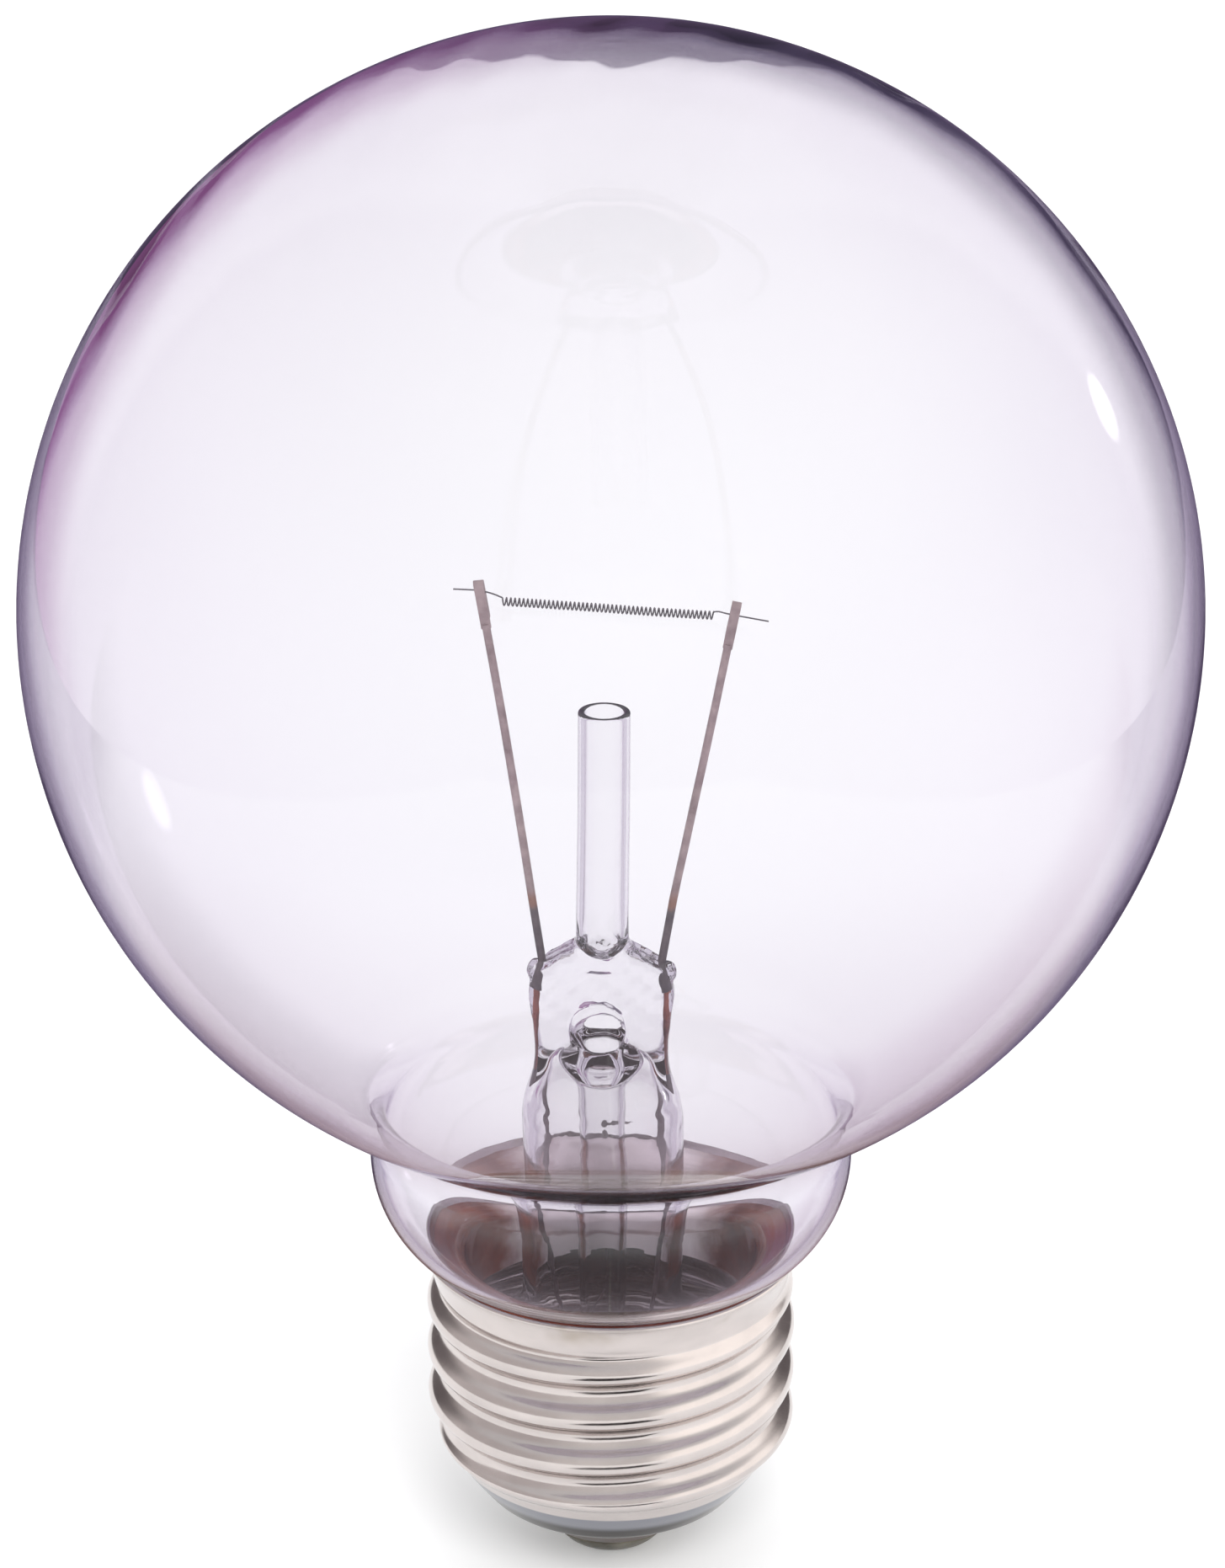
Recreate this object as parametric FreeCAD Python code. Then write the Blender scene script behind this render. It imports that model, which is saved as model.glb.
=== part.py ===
"""Clear globe lamp on a medium screw base: blown bulb, pressed stem, coiled filament and rolled metal cap.

Millimetres, +Z up. The origin is the tip of the centre contact, and the lamp stands on its axis, crown up.
"""
import FreeCAD, Part
import math
import os

# Screw cap, rolled from thin sheet with a right-hand knuckle thread of seven turns to the inch
THREAD_PITCH = 25.4 / 7
THREAD_MAJOR_RADIUS = 13.1
THREAD_ROLL_RADIUS = 1.025
THREAD_START_ANGLE = -90.0
THREAD_TURNS = 4
THREAD_CREST_Z = 20.45
THREAD_TOP_Z = 22.1
THREAD_BOTTOM_Z = 8.4
THREAD_FADE = 1.5
CAP_RIM_Z = 24.5
CAP_RIM_FLARE = 0.5
RIM_FLARE_POWER = 2.2
CAP_FLARE_Z = 20.9
CAP_SHEET = 0.28
CAP_FOOT_Z = 4.4
CAP_FOOT_INSET = 4.4
CAP_SHOULDER_Z = 10.5
CAP_SHOULDER_POWER = 1.35
CAP_LIP_TURN = 0.9
CAP_LIP_HEIGHT = 0.9
FIT_CLEARANCE = 0.02

# Stations of the rolled sheet, per half turn and from root to root
BAND_ROUND = 16
BAND_ACROSS = 12

# Globe and neck: a short bowl under the globe, drawn in to a tube that stands in the cap
GLOBE_RADIUS = 39.7
GLASS_WALL = 0.6
GLOBE_FILLET = 3.4
WAIST_RADIUS = 16.644
BOWL_RADIUS = 8.4
BOWL_OVERHANG = 5.8
BOWL_ABOVE_RIM = 7.1
NECK_TUBE_FILLET = 1.6
NECK_TUBE_GAP = 0.62
NECK_IN_CAP = 10.4

# Cement between the neck and the cap
CEMENT_HEIGHT = 7.0
CEMENT_BELOW_RIM = 0.6

# Insulator and centre contact
INSULATOR_FLOOR = 1.6
INSULATOR_TIP_RADIUS = 5.0
INSULATOR_TIP_Z = 2.0
INSULATOR_SKIRT_HEIGHT = 2.0
INSULATOR_SKIRT_WALL = 1.6
SKIRT_STEPS = 8
EYELET_RADIUS = 4.6
EYELET_SHEET = 0.4
EYELET_TUBE_RADIUS = 1.6
EYELET_TUBE_LENGTH = 2.15
EYELET_CUP_DEPTH = 0.5
EYELET_HOLE_RADIUS = 0.8
SOLDER_RADIUS = 4.2
SOLDER_FLAT_RADIUS = 1.8
SOLDER_PLUG_Z = 1.95
SIDE_SOLDER_RADIUS = 0.95

# Stem: a flared tube pinched flat at its top, which stands a little off the axis
STEM_OFFSET_X = -0.6
STEM_TURN = 4.0
FLARE_RIM_INSET = 1.9
FLARE_RIM_HEIGHT = 1.2
FLARE_CURVE_RADIUS = 6.0
FLARE_TUBE_RADIUS = 5.75
FLARE_WALL = 0.8
FLARE_TUBE_HEIGHT = 19.8
PRESS_SQUEEZE_HEIGHT = 5.2
PRESS_NECK_WIDTH = 9.3
PRESS_PAD_HEIGHT = 7.8
PRESS_WIDE_BELOW_TOP = 3.1
PRESS_WIDTH = 10.1
PRESS_THICKNESS = 3.2
PRESS_HOLE_RADIUS = 1.5
PRESS_HOLE_RISE = 2.0

# Glass tubes of the stem
ARBOR_RADIUS = 1.8
ARBOR_WALL = 0.45
ARBOR_LENGTH = 18.1
ARBOR_CUT_ANGLE = 3.0
ARBOR_SEAT_MARGIN = 0.15
EXHAUST_RADIUS = 1.7
EXHAUST_WALL = 0.4
EXHAUST_BELOW_PRESS = 0.6
EXHAUST_BELOW_FOOT = 4.4
EXHAUST_COLLAR_RADIUS = 2.35
EXHAUST_COLLAR_HEIGHT = 1.8

# Lead wires, in the stem's own frame
SEAL_WIRE_RADIUS = 0.16
SEAL_WIRE_X = 4.25
SEAL_WIRE_LENGTH = 6.5
SEAL_WELD_BELOW_TOP = 3.0
INNER_LEAD_RADIUS = 0.28
INNER_LEAD_FLAT_WIDTH = 0.66
OUTER_LEAD_RADIUS = 0.2
WIRE_BEND_RADIUS = 3.0
LEAD_ENTRY_X = 4.06
LEAD_ENTRY_BELOW_TOP = 1.2
LEAD_KINK_X = 4.85
LEAD_KINK_RISE = 3.9
LEFT_LEAD_TOP_X = 8.4
LEFT_LEAD_RISE = 27.2
RIGHT_LEAD_TOP_X = 9.04
RIGHT_LEAD_RISE = 26.35
HOOK_SHEET = 0.3
HOOK_RETURN_LENGTH = 2.4
HOOK_MAIN_LENGTH = 3.0
LEAD_CLEARANCE = 0.1
LEAD_BELOW_FOOT = 1.2

# Filament: one coil with two straight tails clamped in the hooks
COIL_RADIUS = 0.31
COIL_WIRE_RADIUS = 0.05
COIL_HALF_LENGTH = 7.15
COIL_CENTRE_X = 0.33
COIL_RISE = 25.54
COIL_DROP = 0.22
TAIL_LENGTH = 1.9
TAIL_BEND_RADIUS = 0.4
TAIL_RISE_SHARE = 0.4
TAIL_BELOW_TOP = 0.85

# Heights that follow from the sizes above
NECK_FOOT_Z = CAP_RIM_Z - NECK_IN_CAP
FLARE_TUBE_TOP_Z = NECK_FOOT_Z + FLARE_TUBE_HEIGHT
PRESS_NECK_Z = FLARE_TUBE_TOP_Z + PRESS_SQUEEZE_HEIGHT
PRESS_TOP_Z = PRESS_NECK_Z + PRESS_PAD_HEIGHT
PRESS_WIDE_Z = PRESS_TOP_Z - PRESS_WIDE_BELOW_TOP
PRESS_HOLE_Z = PRESS_NECK_Z + PRESS_HOLE_RISE
ARBOR_TOP_Z = PRESS_TOP_Z + ARBOR_LENGTH
EXHAUST_TOP_Z = PRESS_NECK_Z - EXHAUST_BELOW_PRESS
EXHAUST_TIP_Z = NECK_FOOT_Z - EXHAUST_BELOW_FOOT
SEAL_WELD_Z = PRESS_TOP_Z - SEAL_WELD_BELOW_TOP
SEAL_WIRE_BOTTOM_Z = SEAL_WELD_Z - SEAL_WIRE_LENGTH
LEAD_ENTRY_Z = PRESS_TOP_Z - LEAD_ENTRY_BELOW_TOP
LEAD_KINK_Z = PRESS_TOP_Z + LEAD_KINK_RISE
COIL_CENTRE_Z = PRESS_TOP_Z + COIL_RISE
EYELET_TUBE_TOP_Z = INSULATOR_TIP_Z + EYELET_TUBE_LENGTH


def at(radius, height):
    """A point of the meridian plane, from its distance to the axis and its height."""
    return FreeCAD.Vector(radius, 0, height)


def towards(centre, target, distance):
    """The point at a distance from a centre, on the line to a target."""
    return centre + (target - centre).normalize() * distance


def arc_about(centre, start, end):
    """The shorter arc about a centre between two points that lie on it."""
    middle = (start + end) * 0.5
    through = towards(centre, middle, (start - centre).Length)
    return Part.Arc(start, through, end).toShape()


def line(start, end):
    return Part.LineSegment(start, end).toShape()


def polyline(points):
    return [line(a, b) for a, b in zip(points, points[1:])]


def turned(edges):
    """A solid of revolution about the lamp's axis from the closed outline of its section."""
    wire = Part.Wire(Part.__sortEdges__(edges))
    return Part.Face(wire).revolve(FreeCAD.Vector(0, 0, 0), FreeCAD.Vector(0, 0, 1), 360)


def cylinder(radius, bottom, top, x=0.0, y=0.0):
    return Part.makeCylinder(radius, top - bottom, FreeCAD.Vector(x, y, bottom))


def place_stem(shape):
    """Move a piece from the stem's own axis to where the stem stands in the lamp."""
    placed = shape.copy()
    placed.rotate(FreeCAD.Vector(0, 0, 0), FreeCAD.Vector(0, 0, 1), -STEM_TURN)
    placed.translate(FreeCAD.Vector(STEM_OFFSET_X, 0, 0))
    return placed


def bent_path(points, bend_radius):
    """Straight runs through the points, joined by tangent arcs no larger than the runs allow."""
    edges = []
    start = points[0]
    for before, corner, after in zip(points, points[1:], points[2:]):
        turn = (corner - before).getAngle(after - corner)
        shorter = min((corner - before).Length, (after - corner).Length)
        reach = min(bend_radius * math.tan(turn / 2), 0.45 * shorter)
        radius = reach / math.tan(turn / 2)
        first = towards(corner, before, reach)
        last = towards(corner, after, reach)
        chord_middle = (first + last) * 0.5
        centre = towards(corner, chord_middle, math.hypot(radius, reach))
        edges.append(line(start, first))
        edges.append(Part.Arc(first, towards(centre, corner, radius), last).toShape())
        start = last
    edges.append(line(start, points[-1]))
    return Part.Wire(edges)


def wire_along(points, radius, bend_radius=WIRE_BEND_RADIUS):
    """A round wire whose centre line follows the points."""
    path = bent_path(points, bend_radius)
    circle = Part.Circle(points[0], points[1] - points[0], radius).toShape()
    return path.makePipeShell([Part.Wire(circle)], True, False)


# Globe and neck

def neck_tube_radius():
    """The neck leaves a ring for the cement between it and the roots of the cap's thread."""
    root = THREAD_MAJOR_RADIUS - 2 * thread_wave(0) - CAP_SHEET
    return root - NECK_TUBE_GAP


def flare_rim_radius():
    return neck_tube_radius() - GLASS_WALL - FLARE_RIM_INSET


def neck_centres():
    """Globe, globe fillet, bowl and tube fillet centres of the blown outline, stacked up from the cap."""
    bowl = at(neck_tube_radius() + BOWL_OVERHANG - BOWL_RADIUS, CAP_RIM_Z + BOWL_ABOVE_RIM)
    fillet_r = WAIST_RADIUS + GLOBE_FILLET
    rise = math.sqrt((BOWL_RADIUS + GLOBE_FILLET) ** 2 - (fillet_r - bowl.x) ** 2)
    fillet = at(fillet_r, bowl.z + rise)
    globe = at(0, fillet.z + math.sqrt((GLOBE_RADIUS + GLOBE_FILLET) ** 2 - fillet_r**2))
    tube_fillet_r = neck_tube_radius() + NECK_TUBE_FILLET
    drop = math.sqrt((BOWL_RADIUS + NECK_TUBE_FILLET) ** 2 - (tube_fillet_r - bowl.x) ** 2)
    tube_fillet = at(tube_fillet_r, bowl.z - drop)
    return globe, fillet, bowl, tube_fillet


def blown_outline(inset):
    """Edges of the blown glass from the crown to the neck tube, set in from the outside by an inset."""
    globe, fillet, bowl, tube_fillet = neck_centres()
    crown = at(0, globe.z + GLOBE_RADIUS - inset)
    globe_end = towards(globe, fillet, GLOBE_RADIUS - inset)
    bowl_start = towards(bowl, fillet, BOWL_RADIUS - inset)
    bowl_end = towards(bowl, tube_fillet, BOWL_RADIUS - inset)
    tube_start = at(neck_tube_radius() - inset, tube_fillet.z)
    edges = [
        arc_about(globe, crown, globe_end),
        arc_about(fillet, globe_end, bowl_start),
        arc_about(bowl, bowl_start, bowl_end),
        arc_about(tube_fillet, bowl_end, tube_start),
    ]
    return edges, crown, tube_start


def blown_body():
    """The blown glass as if it were solid, down to its foot."""
    outer, crown, tube = blown_outline(0)
    foot = polyline([tube, at(neck_tube_radius(), NECK_FOOT_Z), at(0, NECK_FOOT_Z), crown])
    return turned(outer + foot)


def make_globe_envelope():
    outer, crown_out, tube_out = blown_outline(0)
    inner, crown_in, tube_in = blown_outline(GLASS_WALL)
    rounding = GLASS_WALL
    tube = neck_tube_radius()
    foot_out = at(tube, NECK_FOOT_Z + rounding)
    foot_under = at(tube - rounding, NECK_FOOT_Z)
    seat_radius = flare_rim_radius() - abs(STEM_OFFSET_X)
    foot = [
        line(tube_out, foot_out),
        arc_about(at(tube - rounding, NECK_FOOT_Z + rounding), foot_out, foot_under),
    ]
    foot += polyline([
        foot_under,
        at(seat_radius, NECK_FOOT_Z),
        at(seat_radius, NECK_FOOT_Z + FLARE_RIM_HEIGHT),
        at(tube - GLASS_WALL, NECK_FOOT_Z + FLARE_RIM_HEIGHT),
        tube_in,
    ])
    glass = turned(outer + foot + inner + [line(crown_in, crown_out)])
    seat = cylinder(flare_rim_radius(), NECK_FOOT_Z - 1, NECK_FOOT_Z + FLARE_RIM_HEIGHT + 1)
    return glass.cut(place_stem(seat))


# Pressed stem

def oval(half_width, half_depth, squareness, height):
    """A closed level outline between an ellipse, at squareness 2, and a box with round corners."""
    count = 24
    points = []
    for step in range(count):
        angle = 2 * math.pi * step / count
        cosine, sine = math.cos(angle), math.sin(angle)
        x = half_width * math.copysign(abs(cosine) ** (2 / squareness), cosine)
        y = half_depth * math.copysign(abs(sine) ** (2 / squareness), sine)
        points.append(FreeCAD.Vector(x, y, height))
    curve = Part.BSplineCurve()
    curve.interpolate(Points=points, PeriodicFlag=True)
    return Part.Wire(curve.toShape())


def ring(radius, height):
    circle = Part.Circle(FreeCAD.Vector(0, 0, height), FreeCAD.Vector(0, 0, 1), radius)
    return Part.Wire(circle.toShape())


def flare_centre():
    """Centre of the arc that spreads the flare from its tube to its rim."""
    radius = FLARE_TUBE_RADIUS + FLARE_CURVE_RADIUS
    rise = math.sqrt(FLARE_CURVE_RADIUS**2 - (radius - flare_rim_radius()) ** 2)
    return at(radius, NECK_FOOT_Z + FLARE_RIM_HEIGHT + rise)


def make_flare():
    centre = flare_centre()
    under = FLARE_CURVE_RADIUS + FLARE_WALL
    rim_drop = math.sqrt(under**2 - (centre.x - flare_rim_radius()) ** 2)
    rim_top = at(flare_rim_radius(), NECK_FOOT_Z + FLARE_RIM_HEIGHT)
    rim_bottom = at(flare_rim_radius(), centre.z - rim_drop)
    tube_out = at(FLARE_TUBE_RADIUS, centre.z)
    tube_in = at(FLARE_TUBE_RADIUS - FLARE_WALL, centre.z)
    edges = [
        arc_about(centre, rim_top, tube_out),
        arc_about(centre, rim_bottom, tube_in),
        line(rim_bottom, rim_top),
    ]
    edges += polyline([
        tube_out,
        at(FLARE_TUBE_RADIUS, FLARE_TUBE_TOP_Z),
        at(FLARE_TUBE_RADIUS - FLARE_WALL, FLARE_TUBE_TOP_Z),
        tube_in,
    ])
    return turned(edges)


def press_blank():
    """The tube's top, squeezed from round to a flat pad, as if it were solid."""
    half_pad = PRESS_WIDTH / 2
    half_neck = PRESS_NECK_WIDTH / 2
    half_thick = PRESS_THICKNESS / 2
    rise = PRESS_NECK_Z - FLARE_TUBE_TOP_Z
    blank = Part.makeLoft([
        ring(FLARE_TUBE_RADIUS, FLARE_TUBE_TOP_Z),
        oval(0.94 * FLARE_TUBE_RADIUS, 0.8 * FLARE_TUBE_RADIUS, 2.1, FLARE_TUBE_TOP_Z + 0.35 * rise),
        oval(1.03 * half_neck, 1.35 * half_thick, 2.5, FLARE_TUBE_TOP_Z + 0.75 * rise),
        oval(half_neck, half_thick, 2.9, PRESS_NECK_Z),
        oval(half_pad, half_thick, 3.1, PRESS_WIDE_Z),
        oval(half_pad, 0.92 * half_thick, 3.1, PRESS_TOP_Z + 1),
    ], True)
    return blank.common(press_shield())


def press_hollow():
    """The inside of the squeezed tube, which closes under the pad."""
    bore = FLARE_TUBE_RADIUS - FLARE_WALL
    half_neck = PRESS_NECK_WIDTH / 2
    half_thick = PRESS_THICKNESS / 2
    rise = PRESS_NECK_Z - FLARE_TUBE_TOP_Z
    return Part.makeLoft([
        ring(bore, FLARE_TUBE_TOP_Z),
        oval(0.92 * bore, 0.76 * bore, 2.1, FLARE_TUBE_TOP_Z + 0.35 * rise),
        oval(0.7 * half_neck, 0.45 * half_thick, 2.4, EXHAUST_TOP_Z),
    ], True)


def press_shield():
    """The pad seen from its broad side: straight below, domed over the shoulders, flat under the arbor."""
    shoulder_x = PRESS_WIDTH / 2
    seat = ARBOR_RADIUS + ARBOR_SEAT_MARGIN
    entry = at(LEAD_ENTRY_X, LEAD_ENTRY_Z)
    right = [
        line(at(seat, PRESS_TOP_Z), entry),
        Part.Arc(entry, at(0.96 * shoulder_x, 0.5 * (LEAD_ENTRY_Z + PRESS_WIDE_Z)),
                 at(shoulder_x + 1, PRESS_WIDE_Z - 1)).toShape(),
    ]
    left = [edge.mirror(FreeCAD.Vector(0, 0, 0), FreeCAD.Vector(1, 0, 0)) for edge in right]
    wide = shoulder_x + 1
    skirt = polyline([
        at(wide, PRESS_WIDE_Z - 1),
        at(wide, FLARE_TUBE_TOP_Z),
        at(-wide, FLARE_TUBE_TOP_Z),
        at(-wide, PRESS_WIDE_Z - 1),
    ])
    top = line(at(-seat, PRESS_TOP_Z), at(seat, PRESS_TOP_Z))
    wire = Part.Wire(Part.__sortEdges__(right + left + skirt + [top]))
    depth = 2 * FLARE_TUBE_RADIUS
    slab = Part.Face(wire).extrude(FreeCAD.Vector(0, 2 * depth, 0))
    slab.translate(FreeCAD.Vector(0, -depth, 0))
    return slab


def exhaust_way():
    """The bore up from the exhaust tube and the hole that was blown through the pad's front."""
    bore = EXHAUST_RADIUS - EXHAUST_WALL
    upright = cylinder(bore, EXHAUST_TOP_Z - 1, PRESS_HOLE_Z)
    dome = Part.makeSphere(bore, FreeCAD.Vector(0, 0, PRESS_HOLE_Z))
    hole = Part.makeCylinder(PRESS_HOLE_RADIUS, PRESS_THICKNESS,
                             FreeCAD.Vector(0, 0, PRESS_HOLE_Z), FreeCAD.Vector(0, -1, 0))
    return upright.fuse([dome, hole])


def make_stem_flare():
    """Flared tube, pinched pad and the collar round the exhaust tube, before the wires are sealed in."""
    collar = cylinder(EXHAUST_COLLAR_RADIUS, EXHAUST_TOP_Z - EXHAUST_COLLAR_HEIGHT, EXHAUST_TOP_Z)
    collar = collar.common(press_blank())
    body = make_flare().fuse([press_blank().cut(press_hollow()), collar])
    body = body.cut(exhaust_way())
    return body.cut(cylinder(EXHAUST_RADIUS, EXHAUST_TIP_Z, EXHAUST_TOP_Z))


def make_arbor_tube():
    """Open tube on the pad's flat top, its mouth cut slightly aslant."""
    height = ARBOR_TOP_Z - PRESS_TOP_Z
    spare = 1.0
    outside = cylinder(ARBOR_RADIUS, PRESS_TOP_Z, ARBOR_TOP_Z + spare)
    inside = cylinder(ARBOR_RADIUS - ARBOR_WALL, PRESS_TOP_Z, ARBOR_TOP_Z + spare)
    tube = outside.cut(inside)
    half = 2 * ARBOR_RADIUS
    cutter = Part.makeBox(2 * half, 2 * half, height, FreeCAD.Vector(-half, -half, ARBOR_TOP_Z))
    cutter.rotate(FreeCAD.Vector(0, 0, ARBOR_TOP_Z), FreeCAD.Vector(1, 0, 0), ARBOR_CUT_ANGLE)
    return tube.cut(cutter)


def make_exhaust_tube():
    """Tube under the pad, drawn to a closed tip where it was sealed off."""
    bore = EXHAUST_RADIUS - EXHAUST_WALL
    shoulder = EXHAUST_TIP_Z + 3 * EXHAUST_RADIUS
    tip_wall = 2 * EXHAUST_WALL
    edges = polyline([
        at(bore, shoulder),
        at(bore, EXHAUST_TOP_Z),
        at(EXHAUST_RADIUS, EXHAUST_TOP_Z),
        at(EXHAUST_RADIUS, shoulder),
    ])
    drawn = at(0.5 * EXHAUST_RADIUS, EXHAUST_TIP_Z + 0.5 * EXHAUST_RADIUS)
    edges += [
        line(at(EXHAUST_RADIUS, shoulder), drawn),
        arc_about(at(0, drawn.z), drawn, at(0, drawn.z - drawn.x)),
        line(at(0, drawn.z - drawn.x), at(0, EXHAUST_TIP_Z + tip_wall + EXHAUST_RADIUS)),
        line(at(0, EXHAUST_TIP_Z + tip_wall + EXHAUST_RADIUS), at(bore, shoulder)),
    ]
    return turned(edges)


# Lead wires, in the stem's own frame; side is -1 for the left lead and 1 for the right one

def lead_top(side):
    """The crown of a lead's hook."""
    if side < 0:
        return at(-LEFT_LEAD_TOP_X, PRESS_TOP_Z + LEFT_LEAD_RISE)
    return at(RIGHT_LEAD_TOP_X, PRESS_TOP_Z + RIGHT_LEAD_RISE)


def lead_points(side):
    return [
        at(side * SEAL_WIRE_X, SEAL_WELD_Z),
        at(side * LEAD_ENTRY_X, LEAD_ENTRY_Z),
        at(side * LEAD_KINK_X, LEAD_KINK_Z),
        lead_top(side),
    ]


def hook(side):
    """The lead's flattened end, folded back over the filament's tail."""
    below, top = lead_points(side)[2:]
    along = (top - below).normalize()
    inner = COIL_WIRE_RADIUS
    outer = inner + HOOK_SHEET
    fold = FreeCAD.Vector(0, inner + HOOK_SHEET / 2, 0)
    half = FreeCAD.Vector(along.z, 0, -along.x) * (INNER_LEAD_FLAT_WIDTH / 2)
    crown = top - along * outer + fold

    def corner(depth, down):
        return crown + FreeCAD.Vector(0, depth, 0) - along * down - half

    def over(radius):
        return Part.Arc(corner(-radius, 0), corner(0, -radius), corner(radius, 0)).toShape()

    edges = [over(outer), over(inner)]
    edges += polyline([
        corner(-outer, 0),
        corner(-outer, HOOK_MAIN_LENGTH),
        corner(-inner, HOOK_MAIN_LENGTH),
        corner(-inner, 0),
    ])
    edges += polyline([
        corner(outer, 0),
        corner(outer, HOOK_RETURN_LENGTH),
        corner(inner, HOOK_RETURN_LENGTH),
        corner(inner, 0),
    ])
    wire = Part.Wire(Part.__sortEdges__(edges))
    return Part.Face(wire).extrude(half * 2)


def make_inner_lead(side):
    """Round wire from the pad to the filament, flattened and hooked at its top."""
    points = lead_points(side)
    along = (points[3] - points[2]).normalize()
    flat_start = points[3] - along * (HOOK_MAIN_LENGTH + COIL_WIRE_RADIUS)
    round_wire = wire_along(points[:3] + [flat_start], INNER_LEAD_RADIUS)
    return round_wire.fuse(hook(side)).removeSplitter()


def make_seal_wire(side):
    """Copper-clad wire that the pad is pressed around, butt-welded to the foot of the lead."""
    top = SEAL_WELD_Z + INNER_LEAD_RADIUS
    wire = cylinder(SEAL_WIRE_RADIUS, SEAL_WIRE_BOTTOM_Z, top, side * SEAL_WIRE_X)
    return wire.cut(make_inner_lead(side)).Solids[0]


def stem_point(x, y, z):
    """A point of the stem's own frame, as it stands in the lamp."""
    return place_stem(Part.Vertex(FreeCAD.Vector(x, y, z))).Point


def make_side_lead():
    """From the left seal wire down the flare, under the neck's foot and up to the cap's rim at the back."""
    back = neck_tube_radius() + OUTER_LEAD_RADIUS + LEAD_CLEARANCE
    under = NECK_FOOT_Z - OUTER_LEAD_RADIUS - LEAD_BELOW_FOOT
    points = [
        stem_point(-SEAL_WIRE_X, 0, SEAL_WIRE_BOTTOM_Z),
        stem_point(-SEAL_WIRE_X, 0, 0.5 * (SEAL_WIRE_BOTTOM_Z + NECK_FOOT_Z)),
        stem_point(-0.8 * SEAL_WIRE_X, 0.35 * back, under),
        FreeCAD.Vector(0, back, under),
        FreeCAD.Vector(0, back, neck_centres()[3].z - NECK_TUBE_FILLET),
    ]
    return wire_along(points, OUTER_LEAD_RADIUS, LEAD_BELOW_FOOT)


def make_centre_lead():
    """From the right seal wire down to the solder in the centre contact."""
    points = [
        stem_point(SEAL_WIRE_X, 0, SEAL_WIRE_BOTTOM_Z),
        stem_point(SEAL_WIRE_X, 0, 0.5 * (SEAL_WIRE_BOTTOM_Z + NECK_FOOT_Z)),
        stem_point(0.7 * SEAL_WIRE_X, 0, EXHAUST_TIP_Z),
        at(0, EYELET_TUBE_TOP_Z),
        at(0, SOLDER_PLUG_Z),
    ]
    return wire_along(points, OUTER_LEAD_RADIUS)


# Filament

def make_filament():
    """One long coil between two tails that lie in the hooks."""
    tilt = math.atan2(COIL_DROP, COIL_HALF_LENGTH)
    eye_y = COIL_WIRE_RADIUS + HOOK_SHEET / 2
    centre = FreeCAD.Vector(COIL_CENTRE_X, eye_y, COIL_CENTRE_Z)
    axis = FreeCAD.Vector(math.cos(tilt), 0, -math.sin(tilt))
    coil = Part.makeCylinder(COIL_RADIUS, 2 * COIL_HALF_LENGTH, centre - axis * COIL_HALF_LENGTH, axis)
    tails = []
    for side in (-1, 1):
        end = centre + axis * (side * (COIL_HALF_LENGTH - COIL_WIRE_RADIUS))
        top = lead_top(side)
        eye = FreeCAD.Vector(top.x, eye_y, top.z - TAIL_BELOW_TOP)
        rise = FreeCAD.Vector(end.x + TAIL_RISE_SHARE * (eye.x - end.x), eye_y, eye.z)
        points = [end, rise, eye + FreeCAD.Vector(side * TAIL_LENGTH, 0, 0)]
        tails.append(wire_along(points, COIL_WIRE_RADIUS, TAIL_BEND_RADIUS))
    return coil.fuse(tails)


# Screw cap

def thread_wave(distance):
    """Offset of the rolled sheet from its mean radius, at an axial distance from a crest."""
    quarter = THREAD_PITCH / 4
    depth = 2 * THREAD_ROLL_RADIUS - math.sqrt(4 * THREAD_ROLL_RADIUS**2 - (2 * quarter) ** 2)
    along = abs((distance + 2 * quarter) % THREAD_PITCH - 2 * quarter)
    if along <= quarter:
        return depth / 2 - THREAD_ROLL_RADIUS + math.sqrt(THREAD_ROLL_RADIUS**2 - along**2)
    along -= 2 * quarter
    return THREAD_ROLL_RADIUS - depth / 2 - math.sqrt(THREAD_ROLL_RADIUS**2 - along**2)


def smooth_step(value):
    clipped = min(max(value, 0.0), 1.0)
    return clipped * clipped * (3 - 2 * clipped)


def cap_barrel_radius():
    """Middle of the thread's wave."""
    return THREAD_MAJOR_RADIUS - thread_wave(0)


def cap_foot_radius():
    return THREAD_MAJOR_RADIUS - CAP_FOOT_INSET


def cap_mean_radius(height):
    """Radius of the cap without its thread: turned-in lip, tapered foot, straight barrel and flared rim."""
    barrel = cap_barrel_radius()
    if height < CAP_SHOULDER_Z:
        down = (CAP_SHOULDER_Z - height) / (CAP_SHOULDER_Z - CAP_FOOT_Z)
        lip = max(1 - (height - CAP_FOOT_Z) / CAP_LIP_HEIGHT, 0)
        taper = (barrel - cap_foot_radius()) * down**CAP_SHOULDER_POWER
        return barrel - taper - CAP_LIP_TURN * lip**2
    flare = max(height - CAP_FLARE_Z, 0) / (CAP_RIM_Z - CAP_FLARE_Z)
    rim = THREAD_MAJOR_RADIUS + CAP_RIM_FLARE
    return barrel + (rim - barrel) * flare**RIM_FLARE_POWER


def cap_radius(height, angle):
    """Radius of the cap's outside at a height and an angle in degrees."""
    crest = THREAD_CREST_Z + THREAD_PITCH * (angle - THREAD_START_ANGLE) / 360
    fade_top = smooth_step((THREAD_TOP_Z - height) / THREAD_FADE)
    fade_bottom = smooth_step((height - THREAD_BOTTOM_Z) / THREAD_FADE)
    return cap_mean_radius(height) + fade_top * fade_bottom * thread_wave(height - crest)


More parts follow.
